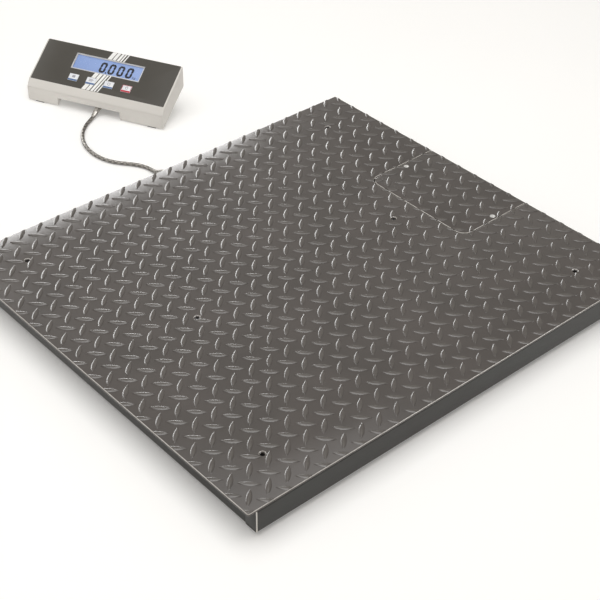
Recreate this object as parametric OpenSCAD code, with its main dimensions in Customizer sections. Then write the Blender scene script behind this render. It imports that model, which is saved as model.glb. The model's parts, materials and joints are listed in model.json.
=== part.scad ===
// Low pallet scale: a steel tread-plate platform on four load cells, tied by a
// metal-sheathed cable to a tilted display unit that stands beside it.
// Origin: centre of the platform on the floor. +X along the long side, +Y towards
// the display, +Z up. Millimetres.

/* [Platform] */
// Length of the deck along X
deck_l = 1000; // [980:5:1100]
// Width of the deck along Y
deck_w = 900; // [890:5:1000]
// Height of the deck surface over the floor
deck_h = 64; // [64:1:70]
// Thickness of the deck sheet
deck_t = 5; // [4:0.5:6]
// Corner radius of the deck sheet
deck_r = 4; // [2:1:8]
// Gap between the floor and the lower edge of the frame
ground_gap = 10; // [8:1:12]
// Wall of the folded frame channels
channel_t = 3; // [2:0.5:4]
// Width of the channel flanges
flange_w = 29; // [24:1:32]
// How far the side channels sit back under the deck edge
side_inset = 1; // [0:0.5:3]
// How far the end channels sit back under the deck edge
end_inset = 18; // [15:1:20]

/* [Deck holes] */
// Foot and access hole position from the centre along X
foot_x = 393; // [385:1:400]
// Foot and access hole position from the centre along Y
foot_y = 357; // [350:1:360]
// Lifting eye position from the centre along X
eye_x = 252; // [240:1:260]
// Radius of the holes in the deck
deck_hole_r = 4.25; // [4:0.25:5]
// Radius of the countersink at the top of each deck hole
sink_r = 6.5; // [6:0.25:8]

/* [Hatch] */
// Distance from the centre to the inner edge of the hatch opening
hatch_x = 313; // [305:1:320]
// Width of the hatch opening along Y
hatch_w = 274; // [260:2:280]
// Inner corner radius of the hatch opening
hatch_r = 25; // [15:1:30]
// Gap round the hatch cover
hatch_gap = 1.5; // [1:0.25:2]
// Hatch screw position from the centre along X
hatch_screw_x = 411; // [400:1:420]
// Hatch screw position from the centre line along Y
hatch_screw_y = 125; // [122:1:126]

/* [Load cells and feet] */
// Length of a load cell beam
beam_l = 130; // [125:1:135]
// Width of a load cell beam
beam_w = 30; // [28:1:34]
// Height of the beam's lower face over the floor
beam_low = 22; // [22:1:24]
// Height of the beam's upper face over the floor
beam_top = 50; // [48:1:50]
// Radius of a foot's threaded stem
stem_r = 6; // [5:0.5:6]
// Radius of a foot's rubber sole
sole_r = 22; // [18:1:26]

/* [Display unit] */
// Width of the display case
case_w = 362; // [355:1:370]
// Depth of the display case
case_d = 111; // [108:1:114]
// Height of the front seam over the case's lower edge
crease_h = 34; // [32:1:36]
// Distance of the display face's lower edge behind the front
rim_set = 12; // [10:1:14]
// Height of the display face's lower edge
rim_h = 51; // [49:1:53]
// Tilt of the display face in degrees
face_tilt = 30; // [28:1:32]
// Height of the case's underside at the back
rear_low = 57; // [55:1:59]
// Wall of the case
case_wall = 3; // [2.5:0.5:3.5]
// Number of keys
key_count = 4; // [4:1:4]
// Width of a key
key_w = 24.5; // [22:0.5:26]
// Height of a key
key_h = 18.3; // [16:0.1:19]
// Distance between neighbouring keys
key_pitch = 47.1; // [45:0.1:48]
// Travel of a key
key_travel = 0.4; // [0.3:0.05:0.4]

/* [Cable] */
// Outer radius of the metal-sheathed signal cable
cable_r = 4.25; // [3.5:0.25:4.5]
// Outer radius of the leads inside the frame
lead_r = 3; // [2.5:0.25:3]

/* [Hidden] */
$fn = 48;
tiny = 0.01;
cut = 1;

// Heights of the platform
deck_low = deck_h - deck_t;
frame_h = deck_low - ground_gap;
side_y = deck_w / 2 - side_inset;
end_x = deck_l / 2 - end_inset;

// Corners: front left, front right, rear left, rear right
corner_side = [[-1, -1], [1, -1], [-1, 1], [1, 1]];

// Ribs under the deck
rib_w = 40;
rib_h = 30;
rib_y = 190;
cross_x = 150;
rib_end_gap = 1;

// Ledge under the hatch
ledge_t = 3;
ledge_out = 18;
ledge_in = 25;

// Load cell hardware, measured from the foot towards the middle of the platform
beam_past = 20;
bolt_at = [75, 98];
bolt_r = 5;
bolt_head_r = 8;
bolt_head_h = 6.5;
gauge_at = 42;
gauge_r = 9;
gauge_depth = 11;
block_l = 48;
run_fit = 0.05;

// Foot stack, bottom to top
sole_t = 3;
pad_top = 9;
pad_r = 20;
neck_r = 3.95;
collar_r = 5.9;
collar_low = 4.1;
collar_top = 6.4;
stem_hex_low = 9.5;
stem_hex_top = 13;
stem_top = 46;
key_socket_r = 3.46;
jam_low = 17.2;
nut_r = 10.9;

// Junction box
box_x = 400;
box_l = 76;
box_w = 120;
tray_t = 3;
tray_low = deck_low - rib_h - tray_t;
box_low = tray_low + tray_t;
box_h = 18;
lid_h = 6;
box_wall = 2.5;
lead_h = 38;
right_lead_x = 393;
left_lead_x = 418;
left_lead_y = 228;
left_lead_h = 47;
dome_l = 9;
gland_hex_l = 6;
gland_hex_r = 8;
gland_bore_r = lead_r;

// Gland in the rear side channel
skirt_gland_x = 35;
skirt_gland_h = 30;
skirt_gland_thread_r = 7.9;
skirt_gland_end = side_y + 23;

// Routes, all hand chosen
inner_route = [
    [347, 0, 38], [335, 0, 38], [300, 4, 38], [250, 10, 38], [200, 12, 38], [150, 12, 38],
    [100, 12, 38], [70, 17, 38], [48, 32, 38], [38, 55, 38], [35, 90, 38], [35, 190, 37.5],
    [35, 300, 35], [35, 400, 30], [35, 440, 30]
];
left_lead_route = [
    [-393, 247, 38], [-393, 242, 38], [-391, 235, 41], [-383, 230, 45], [-365, 228, 47],
    [-150, 228, 47], [150, 228, 47], [398, 228, 47], [409, 225, 46], [416, 217, 44],
    [418, 205, 42], [418, 185, 40], [418, 160, 38], [418, 120, 38], [418, 75, 38]
];
signal_route = [
    [35, 472, 30], [35, 478, 30], [35, 485, 30], [36, 498, 25], [38, 512, 17], [40, 526, 9],
    [41, 542, 5], [38, 562, 4.5], [29, 582, 4.5], [16, 600, 4.5], [2, 618, 4.5], [-9, 638, 4.5],
    [-16, 661, 4.5], [-18, 685, 4.5], [-16, 709, 4.5], [-10, 732, 4.5], [0, 754, 4.5],
    [13, 774, 4.5], [29, 791, 4.5], [44, 803, 4.5], [57, 811, 4.6]
];

// Display case frame: X across, Y from front to back, Z up from the case's lower edge
display_at = [8.5, 997, 2.5];
display_yaw = -64;
under_slope = rear_low / case_d;
under_tilt = atan(under_slope);
face_slope = tan(face_tilt);
rear_top = rim_h + (case_d - rim_set) * face_slope;
face_l = (case_d - rim_set) / cos(face_tilt);
plate_up = case_wall / cos(under_tilt);
shell_gap = 0.3;

// Cable recess under the front of the case
recess_left = 83;
recess_right = 248;
recess_h = 20;
recess_d = 28;
recess_draft = 2;

// Display face, X across, Y up the face from its lower edge, Z out of it
film_t = 0.6;
film_proud = 0.2;
film_side = 4;
film_end = 0.5;
window_x = [91.5, 272.5];
window_y = [49.5, 92.5];
window_lip = 2.5;
key_first_x = 109.6;
key_y = 26;
key_gap = 0.3;
plunger_w = 8;
plunger_h = 6;
plunger_end = -3.6;
lcd_top = -3.2;
lcd_low = -5.2;
backlight_low = -9;
board_top = -13;
board_t = 1.6;

// Underside of the case, X across, Y up the slope, Z into the case
cell_bay_x = [283, 339];
cell_bay_y = [38, 102];
cell_bay_h = 17;
cell_r = 7.1;
cell_l = 50.5;
cell_pitch = 15.3;
cell_first_y = 46.1;
cell_mid_h = 9.4;
door_t = 2;
contact_t = 1.5;
screw_x = [12, 350];
screw_y = [35, 112];
boss_r = 4;
boss_top = [37, 42];
screw_r = 1.2;
screw_head_r = 3.2;
bracket_x = [100, 262];
bracket_y = [50, 102];
bracket_flange_y = 58;
bracket_t = 2;
seat_gap = 0.02;
bracket_screw_x = [130, 232];
bracket_screw_y = 85;
bracket_hole_y = 72;
bracket_hole_r = 2.6;
pad_t = 1.5;

// Cable gland at the display
outlet_x = 188;
outlet_low = 22;
outlet_tilt = 20;
outlet_thread_r = 5.95;
outlet_stand = 3.4;
ferrule_r = 6.5;
ferrule_l = 24;
outlet_hex_l = 6;
outlet_dome_l = 16;
ferrule_start = outlet_stand + outlet_hex_l + outlet_dome_l;

// ---------- shared shapes ----------

// Plate with rounded corners, centred on X and Y
module round_plate(l, w, t, r) {
    union() {
        cube_centred(l - 2 * r, w, t);
        cube_centred(l, w - 2 * r, t);
        for (sx = [-1, 1], sy = [-1, 1]) {
            translate([sx * (l / 2 - r), sy * (w / 2 - r), 0]) cylinder(h = t, r = r);
        }
    }
}

// Box centred on X and Y, standing on Z = 0
module cube_centred(l, w, h) {
    translate([-l / 2, -w / 2, 0]) cube([l, w, h]);
}

// Hexagonal prism along Z
module hex_prism(r, h) {
    cylinder(h = h, r = r, $fn = 6);
}

// Places its children at one corner, with -Y pointing at the middle of the platform
module at_corner(i) {
    side = corner_side[i];
    translate([side[0] * foot_x, side[1] * foot_y, 0])
        mirror([0, side[1] < 0 ? 1 : 0, 0]) children();
}

// Places its children in the display case's own frame
module at_display() {
    translate(display_at) rotate([0, 0, display_yaw]) children();
}

// Places its children on the tilted display face
module on_face() {
    at_display() translate([0, rim_set, rim_h]) rotate([face_tilt, 0, 0]) children();
}

// Places its children on the sloping underside of the case
module on_underside() {
    at_display() rotate([under_tilt, 0, 0]) children();
}

// Extrudes a side profile (Y, Z) of the case across X from one place to another
module across(from, to) {
    translate([from, 0, 0]) rotate([90, 0, 90]) linear_extrude(to - from) children();
}

function unit(v) = v / norm(v);
function heading(p, i) = unit(p[min(i + 1, len(p) - 1)] - p[max(i - 1, 0)]);
function side_of(t) = unit(cross([0, 0, 1], t));
function ring_point(p, i, r, a) =
    let (t = heading(p, i), s = side_of(t), u = cross(t, s)) p[i] + r * (cos(a) * s + sin(a) * u);
function catmull(a, b, c, d, t) =
    0.5 * (2 * b + (c - a) * t + (2 * a - 5 * b + 4 * c - d) * t * t
        + (3 * b - a - 3 * c + d) * t * t * t);
function smooth_route(p, steps) = concat(
    [for (i = [0 : len(p) - 2]) for (k = [0 : steps - 1])
        catmull(p[max(i - 1, 0)], p[i], p[i + 1], p[min(i + 2, len(p) - 1)], k / steps)],
    [p[len(p) - 1]]);

// Closed tube of equal radius swept along a list of points
module tube_along(points, r, sides) {
    n = len(points);
    rings = [for (i = [0 : n - 1]) for (k = [0 : sides - 1]) ring_point(points, i, r, 360 * k / sides)];
    walls = [for (i = [0 : n - 2]) for (k = [0 : sides - 1]) for (half = [0, 1])
        let (a = i * sides + k, b = i * sides + (k + 1) % sides)
            half == 0 ? [a, a + sides, b] : [b, a + sides, b + sides]];
    first_cap = [[for (k = [0 : sides - 1]) k]];
    last_cap = [[for (k = [sides - 1 : -1 : 0]) (n - 1) * sides + k]];
    polyhedron(points = rings, faces = concat(walls, first_cap, last_cap));
}

// ---------- platform ----------

// Deck hole with its countersink
module deck_hole(x, y) {
    translate([x, y, deck_low - cut]) cylinder(h = deck_t + 2 * cut, r = deck_hole_r);
    translate([x, y, deck_h - 2]) cylinder(h = 2 + tiny, r1 = deck_hole_r, r2 = sink_r);
}

// Outline of the hatch opening or cover, open to the +X edge of the deck
module hatch_shape(gap, low, height, past) {
    r = hatch_r - gap;
    half = hatch_w / 2 - gap;
    x0 = hatch_x + gap;
    x1 = deck_l / 2 + past;
    translate([0, 0, low]) union() {
        translate([x0 + r, -half, 0]) cube([x1 - x0 - r, 2 * half, height]);
        translate([x0, -half + r, 0]) cube([x1 - x0, 2 * (half - r), height]);
        for (s = [-1, 1]) {
            translate([x0 + r, s * (half - r), 0]) cylinder(h = height, r = r);
        }
    }
}

module deck_plate() {
    color("dimgray") difference() {
        translate([0, 0, deck_low]) round_plate(deck_l, deck_w, deck_t, deck_r);
        hatch_shape(0, deck_low - cut, deck_t + 2 * cut, cut);
        for (s = corner_side) deck_hole(s[0] * foot_x, s[1] * foot_y);
        for (s = [-1, 1]) deck_hole(s * eye_x, 0);
    }
}

// Folded channel along X, open towards -Y, its web's outer face on Y = 0
module channel(l) {
    translate([-l / 2, 0, 0]) difference() {
        translate([0, -flange_w, 0]) cube([l, flange_w, frame_h]);
        translate([-cut, -flange_w - cut, channel_t])
            cube([l + 2 * cut, flange_w - channel_t + cut, frame_h - 2 * channel_t]);
    }
}

module side_channel_front() {
    color("dimgray") translate([0, -side_y, ground_gap]) rotate([0, 0, 180]) channel(2 * end_x);
}

module side_channel_rear() {
    color("dimgray") difference() {
        translate([0, side_y, ground_gap]) channel(2 * end_x);
        translate([skirt_gland_x, side_y + cut, skirt_gland_h]) rotate([90, 0, 0])
            cylinder(h = channel_t + 2 * cut, r = skirt_gland_thread_r + run_fit);
    }
}

// End channel between the side channels, its flanges cut short of theirs
module end_channel(s) {
    inner = side_y - flange_w;
    translate([s * end_x, 0, ground_gap]) rotate([0, 0, -90 * s]) union() {
        translate([-side_y + channel_t, -channel_t, 0]) cube([2 * (side_y - channel_t), channel_t, frame_h]);
        intersection() {
            channel(2 * inner);
            translate([-inner, -flange_w, 0]) cube([2 * inner, flange_w, frame_h]);
        }
    }
}

// Notches the web ends of an end channel round the side channels' flanges
module end_channel_fitted(s) {
    difference() {
        end_channel(s);
        for (y = [-1, 1], z = [ground_gap, deck_low - channel_t]) {
            translate([s * end_x, y * (side_y - flange_w / 2), z])
                translate([-flange_w, -flange_w / 2 - tiny, -tiny])
                    cube([2 * flange_w, flange_w + 2 * tiny, channel_t + 2 * tiny]);
        }
    }
}

module end_channel_left() {
    color("dimgray") end_channel_fitted(-1);
}

module end_channel_right() {
    color("dimgray") end_channel_fitted(1);
}

// Ribs are folded troughs, open upwards and closed by the deck
module rib(l) {
    translate([-l / 2, -rib_w / 2, deck_low - rib_h]) difference() {
        cube([l, rib_w, rib_h]);
        translate([-cut, channel_t, channel_t]) cube([l + 2 * cut, rib_w - 2 * channel_t, rib_h]);
    }
}

// Hole for a lead through both walls of a rib that runs along X
module lead_hole(x, y, z, r) {
    translate([x, y + rib_w / 2 + cut, z]) rotate([90, 0, 0]) cylinder(h = rib_w + 2 * cut, r = r);
}

module long_ribs() {
    l = 2 * (end_x - flange_w - rib_end_gap);
    color("dimgray") difference() {
        for (s = [-1, 1]) translate([0, s * rib_y, 0]) rib(l);
        for (s = [-1, 1]) {
            lead_hole(right_lead_x, s * rib_y, lead_h, 5);
            lead_hole(left_lead_x, s * rib_y, 40.5, 7);
        }
        lead_hole(skirt_gland_x, rib_y, 37.5, 5);
    }
}

// One cross rib from y0 to y1
module cross_rib(x, y0, y1) {
    translate([x, (y0 + y1) / 2, 0]) rotate([0, 0, 90]) rib(y1 - y0);
}

module cross_ribs() {
    inner = rib_y - rib_w / 2 - rib_end_gap;
    outer = rib_y + rib_w / 2 + rib_end_gap;
    far = side_y - flange_w - rib_end_gap;
    color("dimgray") difference() {
        for (s = [-1, 1]) {
            cross_rib(s * cross_x, -inner, inner);
            cross_rib(s * cross_x, outer, far);
            cross_rib(s * cross_x, -far, -outer);
        }
        for (s = [-1, 1], y = [-1, 1]) {
            translate([s * cross_x - rib_w, y * left_lead_y, left_lead_h]) rotate([0, 90, 0])
                cylinder(h = 2 * rib_w, r = 6);
        }
        translate([cross_x - rib_w, 12, lead_h]) rotate([0, 90, 0]) cylinder(h = 2 * rib_w, r = 5);
    }
}

module hatch_ledge() {
    x0 = hatch_x - ledge_out;
    x1 = end_x - flange_w;
    half = hatch_w / 2 + ledge_out;
    color("dimgray") difference() {
        translate([x0, -half, deck_low - ledge_t]) cube([x1 - x0, 2 * half, ledge_t]);
        translate([hatch_x + ledge_in, -hatch_w / 2 + ledge_in, deck_low - ledge_t - cut])
            cube([deck_l, hatch_w - 2 * ledge_in, ledge_t + 2 * cut]);
        for (s = [-1, 1]) {
            translate([hatch_screw_x, s * hatch_screw_y, deck_low - ledge_t - cut])
                cylinder(h = ledge_t + 2 * cut, r = 3 + run_fit);
        }
    }
}

module box_tray() {
    color("dimgray") translate([box_x, 0, tray_low]) cube_centred(box_l + 4, 2 * (rib_y + 10), tray_t);
}

module eye_nuts() {
    color("silver") for (s = [-1, 1]) {
        translate([s * eye_x, 0, deck_low - 10]) difference() {
            hex_prism(9.8, 10);
            translate([0, 0, -cut]) cylinder(h = 10 + 2 * cut, r = deck_hole_r);
        }
    }
}

module hatch_cover() {
    color("dimgray") difference() {
        intersection() {
            hatch_shape(hatch_gap, deck_low, deck_t, 0);
            translate([0, 0, deck_low - cut]) round_plate(deck_l, deck_w, deck_t + 2 * cut, deck_r);
        }
        for (s = [-1, 1]) translate([hatch_screw_x, s * hatch_screw_y, 0]) hatch_screw_shape(0.1);
    }
}

// Countersunk screw through the cover into the ledge, or the room it needs
module hatch_screw_shape(room) {
    head_r = 5.6;
    head_h = 2.6;
    translate([0, 0, deck_low - ledge_t]) cylinder(h = ledge_t + deck_t - head_h + tiny, r = 3 + room);
    translate([0, 0, deck_h - head_h]) cylinder(h = head_h + (room > 0 ? tiny : 0), r1 = 3 + room, r2 = head_r + room);
}

module hatch_screws() {
    color("silver") for (s = [-1, 1]) {
        translate([hatch_screw_x, s * hatch_screw_y, 0]) difference() {
            hatch_screw_shape(0);
            translate([0, 0, deck_h - 1.6]) hex_prism(2.3, 2);
        }
    }
}

// ---------- load cells and feet ----------

module load_cell_blocks() {
    color("silver") for (i = [0 : 3]) at_corner(i) difference() {
        translate([-beam_w / 2, beam_past - beam_l, beam_top]) cube([beam_w, block_l, deck_low - beam_top]);
        for (y = bolt_at) {
            translate([0, -y, beam_top - cut]) cylinder(h = deck_low - beam_top + 2 * cut, r = bolt_r + run_fit);
        }
    }
}

module load_cells() {
    color("lightgray") for (i = [0 : 3]) at_corner(i) difference() {
        translate([-beam_w / 2, beam_past - beam_l, beam_low]) cube([beam_w, beam_l, beam_top - beam_low]);
        translate([0, 0, beam_low - cut]) cylinder(h = beam_top - beam_low + 2 * cut, r = stem_r + run_fit);
        for (y = bolt_at) {
            translate([0, -y, beam_low - cut])
                cylinder(h = beam_top - beam_low + 2 * cut, r = bolt_r + run_fit);
        }
        for (s = [-1, 1]) {
            translate([s * (beam_w / 2 - gauge_depth / 2), -gauge_at, (beam_low + beam_top) / 2])
                rotate([0, 90, 0]) cylinder(h = gauge_depth + tiny, r = gauge_r, center = true);
        }
    }
}

module load_cell_bolts() {
    color("silver") for (i = [0 : 3]) at_corner(i) for (y = bolt_at) translate([0, -y, 0]) {
        difference() {
            union() {
                translate([0, 0, beam_low - bolt_head_h]) cylinder(h = bolt_head_h, r = bolt_head_r);
                translate([0, 0, beam_low - tiny]) cylinder(h = deck_low - beam_low - 0.5, r = bolt_r);
            }
            translate([0, 0, beam_low - bolt_head_h - tiny]) hex_prism(4.6, 4);
        }
    }
}

module jam_nuts() {
    color("silver") for (i = [0 : 3]) at_corner(i) translate([0, 0, jam_low]) difference() {
        hex_prism(nut_r, beam_low - jam_low);
        translate([0, 0, -cut]) cylinder(h = beam_low - jam_low + 2 * cut, r = stem_r + run_fit);
    }
}

module foot_stem(i) {
    color("silver") at_corner(i) difference() {
        union() {
            translate([0, 0, collar_low]) cylinder(h = collar_top - collar_low, r = collar_r);
            translate([0, 0, collar_low]) cylinder(h = stem_hex_low - collar_low + tiny, r = neck_r);
            translate([0, 0, stem_hex_low]) hex_prism(9.8, stem_hex_top - stem_hex_low);
            translate([0, 0, stem_hex_low]) cylinder(h = stem_top - stem_hex_low, r = stem_r);
        }
        translate([0, 0, stem_top - 5]) hex_prism(key_socket_r, 5 + cut);
    }
}

module foot_pad(i) {
    color("silver") at_corner(i) difference() {
        union() {
            translate([0, 0, sole_t]) cylinder(h = 3.5, r = pad_r);
            translate([0, 0, sole_t]) cylinder(h = pad_top - sole_t, r = 11);
        }
        translate([0, 0, sole_t + 1]) cylinder(h = collar_top - sole_t - 1 + 0.1, r = collar_r + 0.1);
        translate([0, 0, sole_t + 1]) cylinder(h = pad_top, r = neck_r + run_fit);
    }
}

module foot_sole(i) {
    color("black") at_corner(i) cylinder(h = sole_t, r = sole_r);
}

// ---------- junction box ----------

// Gland on a box wall, pointing along +Z from the wall's outer face
module small_gland(wall) {
    difference() {
        union() {
            translate([0, 0, -wall]) cylinder(h = wall + tiny, r = 6 - run_fit);
            hex_prism(gland_hex_r, gland_hex_l);
            translate([0, 0, gland_hex_l]) cylinder(h = dome_l, r1 = 7, r2 = 5);
        }
        translate([0, 0, -wall - cut]) cylinder(h = wall + gland_hex_l + dome_l - 3 + cut, r = gland_bore_r);
    }
}

// Runs its children at each gland's place on the junction box
module at_box_glands() {
    for (s = [-1, 1], x = [right_lead_x, left_lead_x]) {
        translate([x, s * box_w / 2, lead_h]) rotate([-90 * s, 0, 0]) children();
    }
    translate([box_x - box_l / 2, 0, lead_h]) rotate([0, -90, 0]) children();
}

// Runs its children over each corner pillar of the box
module at_box_corners() {
    for (sx = [-1, 1], sy = [-1, 1]) {
        translate([box_x + sx * (box_l / 2 - 6), sy * (box_w / 2 - 6), box_low]) children();
    }
}

module junction_box() {
    color("gainsboro") difference() {
        union() {
            difference() {
                translate([box_x, 0, box_low]) cube_centred(box_l, box_w, box_h);
                translate([box_x, 0, box_low + box_wall])
                    cube_centred(box_l - 2 * box_wall, box_w - 2 * box_wall, box_h);
            }
            at_box_corners() cylinder(h = box_h, r = 4.5);
        }
        at_box_corners() translate([0, 0, 6]) cylinder(h = box_h, r = 1.5);
        at_box_glands() translate([0, 0, -box_wall - cut]) cylinder(h = box_wall + 2 * cut, r = 6);
    }
}

module junction_lid() {
    color("gainsboro") difference() {
        translate([box_x, 0, box_low + box_h]) cube_centred(box_l, box_w, lid_h);
        translate([box_x, 0, box_low + box_h - cut]) cube_centred(box_l - 20, box_w - 20, lid_h - box_wall + cut);
        at_box_corners() translate([0, 0, box_h - cut]) cylinder(h = lid_h + 2 * cut, r = 1.7);
        at_box_corners() translate([0, 0, box_h + lid_h - 2]) cylinder(h = 3, r = 3.4);
    }
}

module junction_lid_screws() {
    color("silver") at_box_corners() difference() {
        union() {
            translate([0, 0, 8]) cylinder(h = box_h + lid_h - 10 + tiny, r = 1.45);
            translate([0, 0, box_h + lid_h - 2]) cylinder(h = 1.8, r = 3.2);
        }
        translate([0, 0, box_h + lid_h - 1.2]) hex_prism(1.4, 2);
    }
}

module junction_board() {
    color("green") translate([box_x, 0, box_low + box_wall]) {
        for (sx = [-1, 1], sy = [-1, 1]) translate([sx * 20, sy * 40, 0]) cylinder(h = 2, r = 3);
        translate([0, 0, 2]) cube_centred(50, 96, 1.6);
        for (y = [-36, -12, 12, 36]) translate([0, y, 3.6 - tiny]) cube_centred(36, 10, 4);
    }
}

module junction_glands() {
    color("dimgray") at_box_glands() small_gland(box_wall);
}

module load_cell_leads() {
    color("black") for (s = [0, 1]) mirror([0, s, 0]) {
        straight_l = foot_y + beam_past - beam_l - box_w / 2 - gland_hex_l - dome_l;
        translate([right_lead_x, foot_y + beam_past - beam_l, lead_h]) rotate([90, 0, 0])
            cylinder(h = straight_l, r = lead_r);
        tube_along(left_lead_route, lead_r, 8);
    }
}

module inner_signal_lead() {
    color("black") tube_along(inner_route, lead_r, 8);
}

// ---------- signal cable ----------

module skirt_gland() {
    color("silver") translate([skirt_gland_x, side_y, skirt_gland_h]) rotate([-90, 0, 0]) difference() {
        union() {
            translate([0, 0, -9]) cylinder(h = 9 + tiny, r = skirt_gland_thread_r);
            translate([0, 0, -9]) hex_prism(10.5, 9 - channel_t);
            hex_prism(10.5, 5);
            cylinder(h = 12, r = 7.5);
        }
        translate([0, 0, -9 - cut]) cylinder(h = 25, r = lead_r + 0.5);
    }
}

module skirt_gland_nut() {
    color("silver") translate([skirt_gland_x, side_y, skirt_gland_h]) rotate([-90, 0, 0]) difference() {
        union() {
            translate([0, 0, 5.2]) hex_prism(10, 9);
            translate([0, 0, 14.2 - tiny]) cylinder(h = skirt_gland_end - side_y - 14.2, r1 = 8.6, r2 = 6.2);
        }
        translate([0, 0, 5]) cylinder(h = 7.1, r = 7.55);
        translate([0, 0, 5]) cylinder(h = 14, r = cable_r);
    }
}

module signal_cable() {
    color("darkgray") tube_along(
        concat(smooth_route(signal_route, 2), [ferrule_point(6), ferrule_point(0)]), cable_r, 12);
}

function display_point(p) = display_at + [
    p[0] * cos(display_yaw) - p[1] * sin(display_yaw),
    p[0] * sin(display_yaw) + p[1] * cos(display_yaw), p[2]];
function outlet_point(l) = display_point(
    [outlet_x, recess_d - l * cos(outlet_tilt), outlet_low - l * sin(outlet_tilt)]);
function ferrule_point(past) = outlet_point(ferrule_start + ferrule_l + past);

// Places its children at the recess wall, +Z running out along the cable
module at_outlet() {
    at_display() translate([outlet_x, recess_d, outlet_low]) rotate([90 + outlet_tilt, 0, 0]) children();
}

module cable_ferrule() {
    color("silver") at_outlet() translate([0, 0, ferrule_start]) union() {
        cylinder(h = 8, r = ferrule_r);
        translate([0, 0, 8]) cylinder(h = 3, r = ferrule_r - 1);
        translate([0, 0, 11]) cylinder(h = ferrule_l - 11, r1 = ferrule_r - 0.4, r2 = cable_r + 0.8);
    }
}

module display_gland() {
    color("silver") at_outlet() difference() {
        union() {
            translate([0, 0, -7]) cylinder(h = 7 + outlet_stand + tiny, r = outlet_thread_r);
            translate([0, 0, outlet_stand]) hex_prism(9, outlet_hex_l);
            translate([0, 0, outlet_stand + outlet_hex_l]) cylinder(h = outlet_dome_l - 5, r = 7.8);
            translate([0, 0, ferrule_start - 5]) cylinder(h = 5, r1 = 7.8, r2 = 6.6);
        }
        translate([0, 0, -7 - cut]) cylinder(h = 18, r = lead_r);
    }
}

// ---------- display case ----------

// Side outline of the case
function case_outline() = [[0, 0], [0, crease_h], [rim_set, rim_h], [case_d, rear_top], [case_d, rear_low]];

// Room inside the upper shell, open below and at the front under the rim
function case_room() =
    let (lift = case_wall / cos(face_tilt), back = case_d - case_wall, low = -5)
    [
        [-cut, low], [-cut, crease_h], [case_wall + shell_gap, crease_h],
        [rim_set + 1.5, rim_h - lift + 1.5 * face_slope],
        [back, rim_h - lift + (back - rim_set) * face_slope],
        [back, back * under_slope + low]
    ];

// Plan of one key's place on the face
function key_x(i) = key_first_x + i * key_pitch;

// Bosses of the upper shell, standing on the underside's normal
module case_bosses(r, low, extra) {
    on_underside() for (x = screw_x, k = [0, 1]) {
        translate([x, screw_y[k], low]) cylinder(h = boss_top[k] - low + extra, r = r);
    }
}

module upper_shell() {
    color("whitesmoke") difference() {
        union() {
            at_display() difference() {
                across(0, case_w) polygon(case_outline());
                across(case_wall, case_w - case_wall) polygon(case_room());
            }
            case_bosses(boss_r, case_wall + shell_gap, 0);
        }
        case_bosses(screw_r + run_fit, 0, -6);
        on_face() {
            translate([film_side, film_end, film_proud - film_t])
                cube([case_w - 2 * film_side, face_l - 2 * film_end, film_t + cut]);
            translate([window_x[0] + window_lip, window_y[0] + window_lip, -case_wall - cut])
                cube([window_x[1] - window_x[0] - 2 * window_lip,
                    window_y[1] - window_y[0] - 2 * window_lip, case_wall + 2 * cut]);
            for (i = [0 : key_count - 1]) translate([key_x(i), key_y, 0]) {
                translate([0, 0, -1]) cube_centred(key_w + 2 * key_gap, key_h + 2 * key_gap, 2);
                translate([0, 0, -case_wall - cut]) cube_centred(plunger_w + 1, plunger_h + 1, case_wall + 2 * cut);
            }
        }
    }
}

// Cable recess, grown on every side by g
module recess_shape(g) {
    intersection() {
        across(recess_left - 20, recess_right + 20) polygon([
            [-cut, -12], [recess_d + g, -12],
            [recess_d + g, (recess_d + g) * under_slope + recess_h + g],
            [-cut, recess_h + g - cut * under_slope]
        ]);
        translate([0, recess_d + g, 0]) rotate([90, 0, 0]) linear_extrude(recess_d + g + cut) polygon([
            [recess_left - recess_draft - g, -12], [recess_left + recess_draft - g, 2 * recess_h + 12],
            [recess_right - recess_draft + g, 2 * recess_h + 12], [recess_right + recess_draft + g, -12]
        ]);
    }
}

// Everything above the underside and behind the front, where lower shell material may be
module lower_limit() {
    back = case_d - case_wall - shell_gap;
    across(case_wall + shell_gap, case_w - case_wall - shell_gap)
        polygon([[0, 0], [0, crease_h - shell_gap], [back, rear_low + 20], [back, back * under_slope]]);
}

module lower_shell() {
    back = case_d - case_wall - shell_gap;
    bay_w = cell_bay_x[1] - cell_bay_x[0];
    bay_l = cell_bay_y[1] - cell_bay_y[0];
    color("gainsboro") difference() {
        union() {
            at_display() {
                across(case_wall + shell_gap, case_w - case_wall - shell_gap) polygon([
                    [0, 0], [0, crease_h - shell_gap], [case_wall, crease_h - shell_gap],
                    [case_wall, case_wall * under_slope + plate_up],
                    [back, back * under_slope + plate_up], [back, back * under_slope]
                ]);
                intersection() {
                    recess_shape(case_wall);
                    lower_limit();
                }
            }
            on_underside() {
                translate([cell_bay_x[0] - 2, cell_bay_y[0] - 2, 0]) cube([bay_w + 4, bay_l + 4, cell_bay_h + 2]);
                for (x = bracket_screw_x) {
                    translate([x, bracket_screw_y, 1]) cylinder(h = 10, r = 4.5);
                }
            }
        }
        at_display() recess_shape(0);
        at_outlet() translate([0, 0, -14]) cylinder(h = 14 + outlet_stand, r = outlet_thread_r + run_fit);
        on_underside() {
            translate([cell_bay_x[0], cell_bay_y[0], -cut]) cube([bay_w, bay_l, cell_bay_h + cut]);
            for (x = bracket_screw_x) {
                translate([x, bracket_screw_y, -cut]) cylinder(h = 10, r = 2 + run_fit);
            }
            for (x = screw_x, y = screw_y) translate([x, y, -cut]) {
                cylinder(h = 2 * cut + case_wall + 1, r = 1.8);
                cylinder(h = 2 * cut + 0.2, r = screw_head_r + 0.2);
            }
        }
    }
}

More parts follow.
